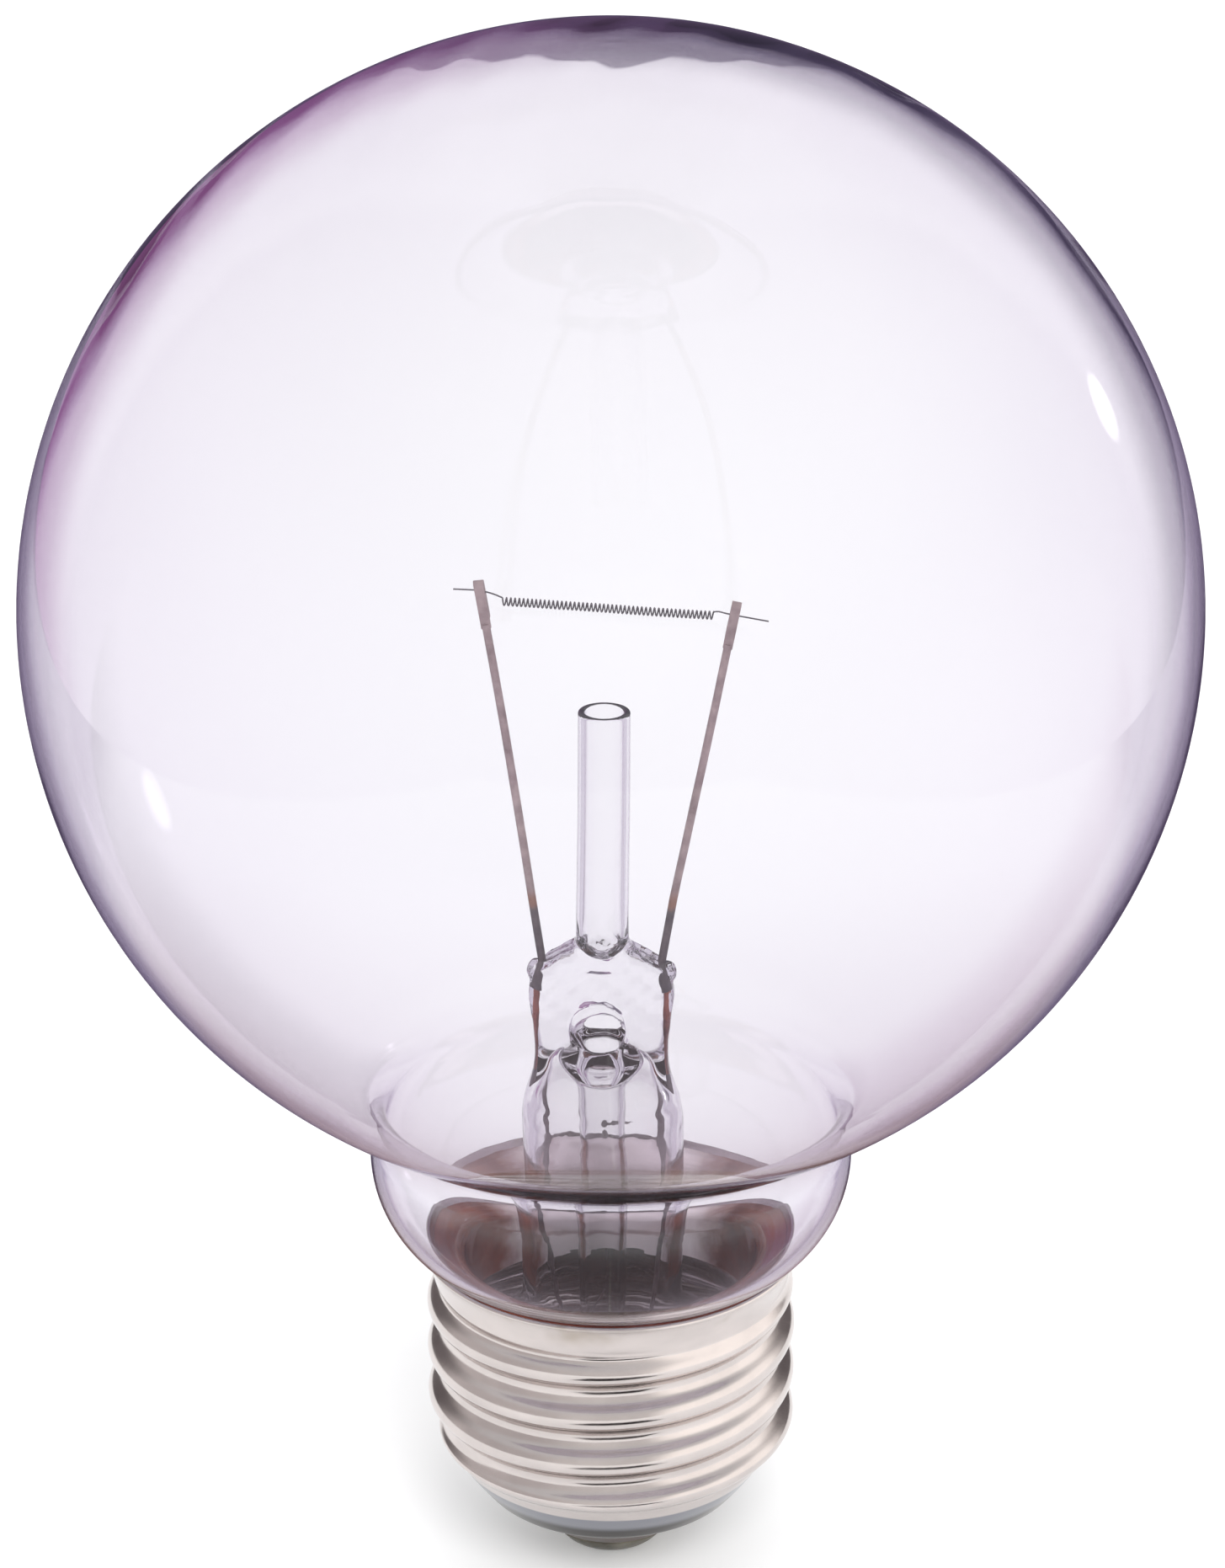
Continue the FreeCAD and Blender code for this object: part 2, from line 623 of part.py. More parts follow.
def cap_point(height, angle, inset):
    """A point of the sheet's outside, or one set in from it, in the meridian plane."""
    small = 0.01
    above, below = cap_radius(height + small, angle), cap_radius(height - small, angle)
    slope = (above - below) / (2 * small)
    steep = math.hypot(1, slope)
    return at(cap_radius(height, angle) - inset / steep, height + inset * slope / steep)


def sheet_point(height, angle, inset):
    """A point of the rolled sheet at an angle in degrees."""
    flat = cap_point(height, angle, inset)
    turn = math.radians(angle)
    return FreeCAD.Vector(flat.x * math.cos(turn), flat.x * math.sin(turn), flat.z)


def hoop_through(place):
    """Half a turn through a moving point, with the tangents that its neighbours share."""
    small = 1e-4
    shares = [step / BAND_ROUND for step in range(BAND_ROUND + 1)]
    ends = [(place(share + small) - place(share - small)) * (0.5 / small) for share in (0, 1)]
    hoop = Part.BSplineCurve()
    hoop.interpolate(Points=[place(share) for share in shares], Parameters=shares,
                     InitialTangent=ends[0], FinalTangent=ends[1], Scale=False)
    return hoop


def surface_through(hoops):
    """The smooth surface across neighbouring hoops, and its first and last hoop."""
    steps = [step / BAND_ACROSS for step in range(BAND_ACROSS + 1)]
    poles = []
    for index in range(1, hoops[0].NbPoles + 1):
        column = [hoop.getPole(index) for hoop in hoops]
        if column[0].isEqual(column[-1], 1e-7):
            poles.append([column[0]] * (len(steps) + 2))
            continue
        rib = Part.BSplineCurve()
        rib.interpolate(Points=column, Parameters=steps)
        poles.append(rib.getPoles())
        knots, counts = rib.getKnots(), rib.getMultiplicities()
    surface = Part.BSplineSurface()
    surface.buildFromPolesMultsKnots(poles, hoops[0].getMultiplicities(), counts,
                                     hoops[0].getKnots(), knots, False, False, 3, 3)
    return surface.toShape(), hoops[0].toShape(), hoops[-1].toShape()


def half_turn_band(low, high, half, inset):
    """Half a turn of the sheet between two heights, each of which may climb with the turn."""
    hoops = []
    for step in range(BAND_ACROSS + 1):
        def place(share, rise=step / BAND_ACROSS):
            turn = (half + share) / 2
            height = low(turn) + (high(turn) - low(turn)) * rise
            return sheet_point(height, THREAD_START_ANGLE + 360 * turn, inset)

        hoops.append(hoop_through(place))
    return surface_through(hoops)


def climbing(height):
    return lambda turn: height + THREAD_PITCH * turn


def level(height):
    return lambda turn: height


def make_screw_shell():
    """Sheet with the helical thread rolled into it, built up from bands that follow the roots."""
    start = THREAD_CREST_Z + THREAD_PITCH / 2 - THREAD_TURNS * THREAD_PITCH
    edges = [level(CAP_FOOT_Z), level(start)]
    edges += [climbing(start + THREAD_PITCH * turn) for turn in range(THREAD_TURNS)]
    edges += [level(start + THREAD_TURNS * THREAD_PITCH), level(CAP_RIM_Z)]
    faces = []
    for half in (0, 1):
        foot_hoops, rim_hoops = [], []
        for inset in (0.0, CAP_SHEET):
            bands = [half_turn_band(low, high, half, inset) for low, high in zip(edges, edges[1:])]
            faces += [band[0] for band in bands]
            foot_hoops.append(bands[0][1])
            rim_hoops.append(bands[-1][2])
        faces.append(Part.makeRuledSurface(*foot_hoops))
        faces.append(Part.makeRuledSurface(*rim_hoops))
    sheet = Part.makeShell([face for piece in faces for face in piece.Faces])
    sheet.sewShape(1e-3)
    return Part.makeSolid(sheet.Shells[0])


def make_basing_cement(wire):
    """Ring of cement between the neck and the cap, up to a little below the rim."""
    top = CAP_RIM_Z - CEMENT_BELOW_RIM
    bottom = top - CEMENT_HEIGHT
    inside = neck_tube_radius() - GLASS_WALL / 2
    root = THREAD_MAJOR_RADIUS - 2 * thread_wave(0) - CAP_SHEET - FIT_CLEARANCE
    steps = 8
    flared = []
    for step in range(steps + 1):
        height = THREAD_TOP_Z + (top - THREAD_TOP_Z) * step / steps
        flared.append(cap_point(height, THREAD_START_ANGLE, CAP_SHEET + FIT_CLEARANCE))
    curve = Part.BSplineCurve()
    curve.interpolate(flared)
    edges = [curve.toShape()]
    edges += polyline([
        flared[-1],
        at(inside, flared[-1].z),
        at(inside, bottom),
        at(root, bottom),
        at(root, THREAD_TOP_Z),
        flared[0],
    ])
    return turned(edges).cut([blown_body(), wire])


# Insulator and contact

def make_base_insulator():
    """Black glass that closes the cap's foot, with a hole for the contact's rivet."""
    skirt_points = []
    for step in range(SKIRT_STEPS + 1):
        height = CAP_FOOT_Z + INSULATOR_SKIRT_HEIGHT * step / SKIRT_STEPS
        skirt_points.append(cap_point(height, THREAD_START_ANGLE, CAP_SHEET + FIT_CLEARANCE))
    skirt = Part.BSplineCurve()
    skirt.interpolate(skirt_points)
    foot, rim_out = skirt_points[0], skirt_points[-1]
    outside_foot = cap_point(CAP_FOOT_Z, THREAD_START_ANGLE, 0)
    shoulder = at(foot.x, CAP_FOOT_Z - FIT_CLEARANCE)
    lip = at(outside_foot.x, shoulder.z)
    rim_in = at(rim_out.x - INSULATOR_SKIRT_WALL, rim_out.z)
    floor_z = INSULATOR_TIP_Z + INSULATOR_FLOOR
    bore = EYELET_TUBE_RADIUS + FIT_CLEARANCE
    tip = at(INSULATOR_TIP_RADIUS, INSULATOR_TIP_Z)
    edges = [skirt.toShape()]
    edges += polyline([foot, shoulder, lip, tip])
    edges += polyline([
        tip,
        at(bore, INSULATOR_TIP_Z),
        at(bore, floor_z),
        at(foot.x - INSULATOR_SKIRT_WALL, floor_z),
        rim_in,
        rim_out,
    ])
    return turned(edges)


def make_contact_eyelet():
    """Domed contact plate with a hollow rivet up through the insulator."""
    rim_under = at(EYELET_RADIUS, INSULATOR_TIP_Z - EYELET_SHEET)
    dome_in = at(EYELET_HOLE_RADIUS, INSULATOR_TIP_Z - EYELET_SHEET - EYELET_CUP_DEPTH)
    dome_mid = at(0.5 * EYELET_RADIUS, dome_in.z + 0.28 * EYELET_CUP_DEPTH)
    edges = [Part.Arc(rim_under, dome_mid, dome_in).toShape()]
    edges += polyline([
        dome_in,
        at(EYELET_HOLE_RADIUS, INSULATOR_TIP_Z),
        at(EYELET_TUBE_RADIUS - EYELET_SHEET, INSULATOR_TIP_Z + EYELET_SHEET),
        at(EYELET_TUBE_RADIUS - EYELET_SHEET, EYELET_TUBE_TOP_Z),
        at(EYELET_TUBE_RADIUS, EYELET_TUBE_TOP_Z),
        at(EYELET_TUBE_RADIUS, INSULATOR_TIP_Z),
        at(EYELET_RADIUS, INSULATOR_TIP_Z),
        rim_under,
    ])
    return turned(edges)


def make_contact_solder(eyelet):
    """Dome of solder with a small flat tip, which fills the plate's hole up to the wire."""
    start = at(SOLDER_RADIUS, INSULATOR_TIP_Z - EYELET_SHEET)
    flat = at(SOLDER_FLAT_RADIUS, 0)
    bulge = at(0.8 * SOLDER_RADIUS, 0.2 * start.z)
    edges = [Part.Arc(start, bulge, flat).toShape()]
    edges += polyline([
        flat,
        at(0, 0),
        at(0, SOLDER_PLUG_Z),
        at(EYELET_HOLE_RADIUS, SOLDER_PLUG_Z),
        at(EYELET_HOLE_RADIUS, start.z),
        start,
    ])
    return turned(edges).cut(eyelet)


def make_side_solder(neighbours):
    """Blob of solder over the rim at the back, where the side lead comes up."""
    seat = FreeCAD.Vector(0, THREAD_MAJOR_RADIUS + CAP_RIM_FLARE - CAP_SHEET, CAP_RIM_Z - 0.2)
    blob = Part.makeSphere(SIDE_SOLDER_RADIUS, seat)
    return blob.cut(neighbours)


def main():
    os.makedirs("parts", exist_ok=True)
    envelope = make_globe_envelope()
    shell = make_screw_shell()
    side_lead = make_side_lead()
    cement = make_basing_cement(side_lead)
    eyelet = make_contact_eyelet()
    wires = {
        "left_inner_lead": place_stem(make_inner_lead(-1)),
        "right_inner_lead": place_stem(make_inner_lead(1)),
        "left_seal_wire": place_stem(make_seal_wire(-1)),
        "right_seal_wire": place_stem(make_seal_wire(1)),
        "side_lead": side_lead,
        "centre_lead": make_centre_lead(),
    }
    nodes = {
        "globe_envelope": envelope,
        "stem_flare": place_stem(make_stem_flare()).cut(list(wires.values())),
        "arbor_tube": place_stem(make_arbor_tube()),
        "exhaust_tube": place_stem(make_exhaust_tube()),
        "filament": place_stem(make_filament()),
        "screw_shell": shell,
        "basing_cement": cement,
        "base_insulator": make_base_insulator(),
        "contact_eyelet": eyelet,
        "contact_solder": make_contact_solder(eyelet),
        "side_solder": make_side_solder([blown_body(), shell, cement, side_lead]),
    }
    nodes.update(wires)
    for name, shape in nodes.items():
        shape.exportStep("parts/" + name + ".step")
        print(name, len(shape.Solids), "solid", shape.isValid(), round(shape.Volume, 2), "mm3")


main()
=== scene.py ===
"""Looks of the clear globe lamp: glass, stem, coil, screw cap, materials and plain white studio.

Blender works in metres. The shapes below are written in millimetres and scaled by MM.
"""
import bpy
import math
import numpy as np
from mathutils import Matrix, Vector


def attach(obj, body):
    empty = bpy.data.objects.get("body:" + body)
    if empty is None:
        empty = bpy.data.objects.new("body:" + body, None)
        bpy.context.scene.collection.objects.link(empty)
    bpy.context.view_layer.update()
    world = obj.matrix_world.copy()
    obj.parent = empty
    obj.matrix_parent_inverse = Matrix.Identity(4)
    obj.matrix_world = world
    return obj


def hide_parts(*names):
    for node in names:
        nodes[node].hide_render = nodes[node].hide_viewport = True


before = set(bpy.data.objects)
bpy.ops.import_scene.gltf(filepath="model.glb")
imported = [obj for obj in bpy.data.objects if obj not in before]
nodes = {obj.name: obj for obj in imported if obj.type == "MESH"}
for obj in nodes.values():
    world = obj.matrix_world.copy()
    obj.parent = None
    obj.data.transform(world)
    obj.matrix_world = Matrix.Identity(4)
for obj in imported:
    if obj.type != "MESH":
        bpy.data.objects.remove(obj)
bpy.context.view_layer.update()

MM = 0.001
TAU = 2 * math.pi


# Shader help: small functions that add nodes and return a socket

def new_material(name):
    material = bpy.data.materials.new(name)
    material.use_nodes = True
    tree = material.node_tree
    return material, tree, tree.nodes["Principled BSDF"]


def add(tree, kind, **settings):
    node = tree.nodes.new(kind)
    for key, value in settings.items():
        setattr(node, key, value)
    return node


def object_coordinates(tree):
    return add(tree, "ShaderNodeTexCoord").outputs["Object"]


def scaled(tree, vector, scale):
    mapping = add(tree, "ShaderNodeMapping")
    mapping.inputs["Scale"].default_value = scale
    tree.links.new(vector, mapping.inputs["Vector"])
    return mapping.outputs["Vector"]


def noise(tree, vector, scale, detail=4.0, roughness=0.55):
    node = add(tree, "ShaderNodeTexNoise")
    node.inputs["Scale"].default_value = scale
    node.inputs["Detail"].default_value = detail
    node.inputs["Roughness"].default_value = roughness
    tree.links.new(vector, node.inputs["Vector"])
    return node.outputs["Fac"]


def ramp(tree, value, stops):
    node = add(tree, "ShaderNodeValToRGB")
    elements = node.color_ramp.elements
    while len(elements) < len(stops):
        elements.new(0.5)
    for element, (place, colour) in zip(elements, stops):
        element.position = place
        element.color = (*colour, 1.0)
    tree.links.new(value, node.inputs["Fac"])
    return node.outputs["Color"]


def span(tree, value, low, high, to_low=0.0, to_high=1.0):
    """Eases from one result to the other while the value goes from low to high."""
    node = add(tree, "ShaderNodeMapRange", interpolation_type="SMOOTHSTEP")
    node.inputs["From Min"].default_value = low
    node.inputs["From Max"].default_value = high
    node.inputs["To Min"].default_value = to_low
    node.inputs["To Max"].default_value = to_high
    tree.links.new(value, node.inputs["Value"])
    return node.outputs["Result"]


def maths(tree, operation, *values):
    node = add(tree, "ShaderNodeMath", operation=operation)
    for slot, value in zip(node.inputs, values):
        if isinstance(value, (int, float)):
            slot.default_value = value
        else:
            tree.links.new(value, slot)
    return node.outputs[0]


def mix(tree, factor, first, second):
    node = add(tree, "ShaderNodeMix", data_type="RGBA")
    for index, value in ((0, factor), (6, first), (7, second)):
        slot = node.inputs[index]
        if isinstance(value, tuple):
            slot.default_value = (*value, 1.0)
        elif isinstance(value, (int, float)):
            slot.default_value = value
        else:
            tree.links.new(value, slot)
    return node.outputs[2]


def product(tree, *factors):
    result = factors[0]
    for factor in factors[1:]:
        result = maths(tree, "MULTIPLY", result, factor)
    return result


def length_of(tree, across, along):
    """Length of a flat vector from its two parts."""
    squares = maths(tree, "ADD", product(tree, across, across), product(tree, along, along))
    return maths(tree, "SQRT", squares)


def bump(tree, shader, height, strength, distance):
    node = add(tree, "ShaderNodeBump")
    node.inputs["Strength"].default_value = strength
    node.inputs["Distance"].default_value = distance
    tree.links.new(height, node.inputs["Height"])
    tree.links.new(node.outputs["Normal"], shader.inputs["Normal"])


def split_axes(tree, vector):
    node = add(tree, "ShaderNodeSeparateXYZ")
    tree.links.new(vector, node.inputs[0])
    return node.outputs


def show_either(tree, factor, first, second):
    """Gives the material's surface the first shader, or the second where the factor is 1."""
    either = add(tree, "ShaderNodeMixShader")
    for slot, value in zip(either.inputs, (factor, first.outputs[0], second.outputs[0])):
        tree.links.new(value, slot)
    tree.links.new(either.outputs[0], tree.nodes["Material Output"].inputs["Surface"])


# Materials, with heights on the lamp in metres

GLASS_IOR = 1.52
GLASS_RIPPLE = 0.02
RIPPLE_SCALE = 140.0
RIPPLE_DEPTH = 0.0002
FINE_DEPTH = 0.0001
CAP_PALE = (0.64, 0.585, 0.565)
CAP_WORN = (0.54, 0.495, 0.48)
CAP_STAIN = (0.30, 0.24, 0.16)
CAP_STAIN_HEIGHTS = (0.0222, 0.0240)
# Painted reflection: bluish ring at the cap's foot standing for the sheen of the dark glass
CAP_PAINTED_REFLECTION = (0.25, 0.255, 0.29)
CAP_PAINTED_REFLECTION_HEIGHTS = (0.0077, 0.0079)
CAP_ENAMEL = (0.012, 0.009, 0.008)
CAP_ENAMEL_HEIGHTS = (0.0060, 0.0069)
LEAD_MAUVE = ((0.25, 0.180, 0.180), (0.50, 0.385, 0.385))
LEAD_SLATE = ((0.045, 0.034, 0.045), (0.15, 0.115, 0.130))
LEAD_RUST = (0.30, 0.15, 0.11)
LEAD_RUST_FROM = (0.0504, 0.0510)
LEAD_MAUVE_FROM = (0.0512, 0.0522)
LEAD_RAGGED = 0.0010
CEMENT_BROWN = ((0.110, 0.016, 0.006), (0.28, 0.065, 0.028))
CEMENT_PALE = (0.98, 0.88, 0.86)
CEMENT_PALE_ASIDE = (0.0055, 0.0090)
CEMENT_PALE_BEHIND = (0.002, 0.005)
CEMENT_LINE_HEIGHT = 0.0205
CEMENT_LINE_HALVES = (0.0001, 0.0005)
CEMENT_EDGE = 0.004


def glass(name, colour, density, rim):
    """Clear glass with a tint in its depth and painted lavender shade that darkens it towards its grazing
    rims, which lets light through to what it holds.
    """
    material, tree, shader = new_material(name)
    facing = add(tree, "ShaderNodeLayerWeight")
    facing.inputs["Blend"].default_value = 0.5
    # Painted shade: the colour darkens to lavender as the look grazes the glass
    tree.links.new(ramp(tree, facing.outputs["Facing"], rim), shader.inputs["Base Color"])
    shader.inputs["Roughness"].default_value = 0.0
    shader.inputs["IOR"].default_value = GLASS_IOR
    shader.inputs["Transmission Weight"].default_value = 1.0
    volume = add(tree, "ShaderNodeVolumeAbsorption")
    volume.inputs["Color"].default_value = (*colour, 1)
    volume.inputs["Density"].default_value = density
    tree.links.new(volume.outputs[0], tree.nodes["Material Output"].inputs["Volume"])
    path = add(tree, "ShaderNodeLightPath")
    lighting = maths(tree, "MAXIMUM", path.outputs["Is Shadow Ray"], path.outputs["Is Diffuse Ray"])
    show_either(tree, lighting, shader, add(tree, "ShaderNodeBsdfTransparent"))
    ripple = noise(tree, object_coordinates(tree), RIPPLE_SCALE, 2.0)
    bump(tree, shader, ripple, GLASS_RIPPLE, RIPPLE_DEPTH)
    return material


def cap_metal():
    """Bright rolled sheet with a stain at its rim; at its foot, the dark glass that shows there and a bluish
    ring above it, a painted reflection of that glass's sheen.
    """
    material, tree, shader = new_material("cap_metal")
    coordinates = object_coordinates(tree)
    shader.inputs["Metallic"].default_value = 1.0
    worn = noise(tree, scaled(tree, coordinates, (1, 1, 2)), 160.0, 5.0, 0.6)
    blotch = noise(tree, coordinates, 90.0, 4.0)
    base = ramp(tree, worn, [(0.3, CAP_WORN), (0.62, CAP_PALE)])
    stained = ramp(tree, blotch, [(0.60, (0.0, 0.0, 0.0)), (0.72, (1.0, 1.0, 1.0))])
    height = split_axes(tree, coordinates)[2]
    near_rim = span(tree, height, *CAP_STAIN_HEIGHTS)
    colour = mix(tree, product(tree, stained, 0.7, near_rim), base, CAP_STAIN)
    # Painted reflection: the bluish ring at the foot stands for the dark glass's sheen
    ring = span(tree, height, *CAP_PAINTED_REFLECTION_HEIGHTS, 1.0, 0.0)
    colour = mix(tree, ring, colour, CAP_PAINTED_REFLECTION)
    enamel = span(tree, height, *CAP_ENAMEL_HEIGHTS, 1.0, 0.0)
    colour = mix(tree, enamel, colour, CAP_ENAMEL)
    tree.links.new(colour, shader.inputs["Base Color"])
    rough = span(tree, worn, 0.3, 0.7, 0.13, 0.22)
    tree.links.new(rough, shader.inputs["Roughness"])
    fine = noise(tree, scaled(tree, coordinates, (1, 1, 3)), 260.0, 4.0)
    bump(tree, shader, fine, 0.10, FINE_DEPTH)
    return material


def plain_metal(name, dark, pale, roughness, scale, metallic=1.0, strength=0.2):
    """Worn metal between two colours, or a dull solid where metallic is 0."""
    material, tree, shader = new_material(name)
    coordinates = object_coordinates(tree)
    worn = noise(tree, coordinates, scale, 5.0, 0.6)
    tree.links.new(ramp(tree, worn, [(0.32, dark), (0.66, pale)]), shader.inputs["Base Color"])
    shader.inputs["Metallic"].default_value = metallic
    tree.links.new(span(tree, worn, 0.3, 0.7, roughness * 0.8, roughness * 1.25), shader.inputs["Roughness"])
    bump(tree, shader, noise(tree, coordinates, scale * 3, 3.0), strength, FINE_DEPTH)
    return material


def lead_metal():
    """Mauve oxide above the kink, slate below it and a rusty stretch between them."""
    material, tree, shader = new_material("lead_wire")
    coordinates = object_coordinates(tree)
    worn = noise(tree, coordinates, 700.0, 5.0, 0.6)
    mauve = ramp(tree, worn, [(0.32, LEAD_MAUVE[0]), (0.66, LEAD_MAUVE[1])])
    slate = ramp(tree, worn, [(0.32, LEAD_SLATE[0]), (0.66, LEAD_SLATE[1])])
    height = split_axes(tree, coordinates)[2]
    ragged = maths(tree, "ADD", height, product(tree, worn, LEAD_RAGGED))
    colour = mix(tree, span(tree, ragged, *LEAD_RUST_FROM), slate, LEAD_RUST)
    colour = mix(tree, span(tree, ragged, *LEAD_MAUVE_FROM), colour, mauve)
    tree.links.new(colour, shader.inputs["Base Color"])
    shader.inputs["Metallic"].default_value = 0.6
    tree.links.new(span(tree, worn, 0.3, 0.7, 0.40, 0.60), shader.inputs["Roughness"])
    bump(tree, shader, noise(tree, coordinates, 1500.0, 3.0), 0.6, FINE_DEPTH)
    return material


def cement():
    """Brown cement with smears, and a paler stretch at the back."""
    material, tree, shader = new_material("cement")
    coordinates = object_coordinates(tree)
    smears = noise(tree, coordinates, 220.0, 5.0, 0.6)
    brown = ramp(tree, smears, [(0.32, CEMENT_BROWN[0]), (0.66, CEMENT_BROWN[1])])
    x, y, z = split_axes(tree, coordinates)
    wander = maths(tree, "SUBTRACT", noise(tree, coordinates, 320.0, 4.0), 0.5)
    aside = maths(tree, "ADD", maths(tree, "ABSOLUTE", x), product(tree, wander, CEMENT_EDGE))
    from_line = maths(tree, "ABSOLUTE", maths(tree, "SUBTRACT", z, CEMENT_LINE_HEIGHT))
    line = span(tree, from_line, *CEMENT_LINE_HALVES, 0.5, 1.0)
    middle = span(tree, aside, *CEMENT_PALE_ASIDE, 1.0, 0.0)
    pale = product(tree, middle, span(tree, y, *CEMENT_PALE_BEHIND), line)
    tree.links.new(mix(tree, pale, brown, CEMENT_PALE), shader.inputs["Base Color"])
    tree.links.new(span(tree, smears, 0.3, 0.7, 0.40, 0.65), shader.inputs["Roughness"])
    bump(tree, shader, noise(tree, coordinates, 700.0, 3.0), 0.5, FINE_DEPTH)
    return material


# Tints of the glass, with painted lavender shade darkening them, from a look straight at it (0) to a grazing
# one (1)
BULB_RIM_PAINTED_SHADE = [(0.0, (1.0, 1.0, 1.0)), (0.45, (0.985, 0.965, 0.99)), (0.66, (0.965, 0.930, 0.975)),
            (0.79, (0.93, 0.88, 0.95)), (0.86, (0.56, 0.48, 0.64)), (0.95, (0.30, 0.24, 0.36))]
STEM_RIM_PAINTED_SHADE = [(0.0, (1.0, 1.0, 1.0)), (0.50, (0.97, 0.96, 0.98)), (0.72, (0.72, 0.67, 0.75)),
            (0.90, (0.34, 0.30, 0.38))]

MATERIALS = {
    "bulb_glass": glass("bulb_glass", (0.665, 0.645, 0.725), 420.0, BULB_RIM_PAINTED_SHADE),
    "stem_glass": glass("stem_glass", (0.75, 0.72, 0.80), 60.0, STEM_RIM_PAINTED_SHADE),
    "cap_metal": cap_metal(),
    "lead_wire": lead_metal(),
    "seal_wire": plain_metal("seal_wire", (0.16, 0.045, 0.035), (0.55, 0.18, 0.13), 0.40, 500.0),
    "filament_wire": plain_metal("filament_wire", (0.10, 0.09, 0.10), (0.25, 0.23, 0.24), 0.4, 900.0),
    "cement": cement(),
    "insulator_glass": plain_metal("insulator_glass", (0.018, 0.007, 0.005), (0.050, 0.020, 0.014),
                                   0.35, 200.0, metallic=0.0),
    "contact_metal": plain_metal("contact_metal", (0.06, 0.055, 0.045), (0.20, 0.185, 0.15), 0.35, 300.0),
    "solder": plain_metal("solder", (0.09, 0.085, 0.07), (0.28, 0.265, 0.23), 0.35, 350.0, strength=0.6),
}


# Mesh help

def make_piece(name, points, faces, slot_name, *replaced):
    """Smooth piece of the lamp's one body, from points in millimetres, with the nodes that it replaces."""
    mesh = bpy.data.meshes.new(name)
    mesh.from_pydata([tuple(MM * c for c in p) for p in points], [], faces)
    mesh.validate()
    mesh.shade_smooth()
    mesh.materials.append(MATERIALS[slot_name])
    piece = bpy.data.objects.new(name, mesh)
    bpy.context.scene.collection.objects.link(piece)
    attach(piece, "root")
    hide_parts(*replaced)


def grid_faces(rows, columns, wrap_rows=False):
    """Faces between rows of points that each close to a ring."""
    faces = []
    for i in range(rows if wrap_rows else rows - 1):
        for j in range(columns):
            a = i * columns + j
            b = i * columns + (j + 1) % columns
            c = ((i + 1) % rows) * columns + (j + 1) % columns
            d = ((i + 1) % rows) * columns + j
            faces.append((a, b, c, d))
    return faces


# Globe glass, in millimetres as in the CAD

LAMP_LENGTH = 111.91
GLOBE_RADIUS = 39.69
GLASS_WALL = 0.6
BOWL_RADIUS = 8.4
BOWL_CENTRE = np.array([8.5, 31.6])
GLOBE_FILLET = 3.4
WAIST_RADIUS = 16.644
NECK_RADIUS = 11.1
NECK_FILLET = 1.6
NECK_FOOT = 14.1
FOOT_ROUND = 0.6
CROWN_DOT = 0.02
GLOBE_STEP = 1.1
GLOBE_COLUMNS = 216

# The wall's waves fade in above the neck, each with its height, direction and phase
WAVE_FOOT = 21.5
WAVE_RISE = 8.0
WAVE_RADIUS = 39.0
WAVE_CENTRE_Z = 72.2
CROWN_WAVE_FOOT = 85.0
CROWN_WAVE_RISE = 27.0
WALL_WAVES = ((0.030, (0.075, 0.0, 0.05), 0.0), (0.022, (0.16, -0.11, 0.13), 1.0),
              (0.016, (-0.12, 0.21, 0.17), 0.0))
CROWN_WAVES = ((0.020, (0.33, 0.0, 0.0), 0.9), (0.012, (0.62, 0.21, 0.0), 0.0),
               (0.006, (1.35, -0.5, 0.0), 0.0))


def arc_points(centre, start, end, step):
    """Points along the shorter arc about a centre, with both ends."""
    radius = np.linalg.norm(start - centre)
    first = math.atan2(*(start - centre)[::-1])
    last = math.atan2(*(end - centre)[::-1])
    turn = (last - first + math.pi) % TAU - math.pi
    count = max(2, int(abs(turn) * radius / step))
    angles = [first + turn * i / count for i in range(count + 1)]
    return [centre + radius * np.array([math.cos(a), math.sin(a)]) for a in angles]


def unit(vector):
    return vector / np.linalg.norm(vector)


def blown_profile(inset, step):
    """Meridian of the blown glass from crown to neck, set in from the outside."""
    fillet_r = WAIST_RADIUS + GLOBE_FILLET
    rise = math.sqrt((BOWL_RADIUS + GLOBE_FILLET) ** 2 - (fillet_r - BOWL_CENTRE[0]) ** 2)
    fillet = np.array([fillet_r, BOWL_CENTRE[1] + rise])
    globe = np.array([0.0, LAMP_LENGTH - GLOBE_RADIUS])
    tube_r = NECK_RADIUS + NECK_FILLET
    drop = math.sqrt((BOWL_RADIUS + NECK_FILLET) ** 2 - (tube_r - BOWL_CENTRE[0]) ** 2)
    tube = np.array([tube_r, BOWL_CENTRE[1] - drop])
    globe_end = globe + unit(fillet - globe) * (GLOBE_RADIUS - inset)
    bowl_start = BOWL_CENTRE + unit(fillet - BOWL_CENTRE) * (BOWL_RADIUS - inset)
    bowl_end = BOWL_CENTRE + unit(tube - BOWL_CENTRE) * (BOWL_RADIUS - inset)
    neck = np.array([NECK_RADIUS - inset, tube[1]])
    crown = np.array([CROWN_DOT, LAMP_LENGTH - inset])
    points = arc_points(globe, crown, globe_end, step)
    for centre, start, end in ((fillet, globe_end, bowl_start), (BOWL_CENTRE, bowl_start, bowl_end),
                               (tube, bowl_end, neck)):
        points += arc_points(centre, start, end, step * 0.4)[1:]
    return points


def waves(table, x, y, z):
    return sum(size * math.sin(a * x + b * y + c * z + phase) for size, (a, b, c), phase in table)


def wall_wave(x, y, z):
    """Slow unevenness of the blown wall at a place, stronger towards the crown."""
    high = max(z - CROWN_WAVE_FOOT, 0.0) / CROWN_WAVE_RISE
    return waves(WALL_WAVES, x, y, z) + high * waves(CROWN_WAVES, x, y, z)


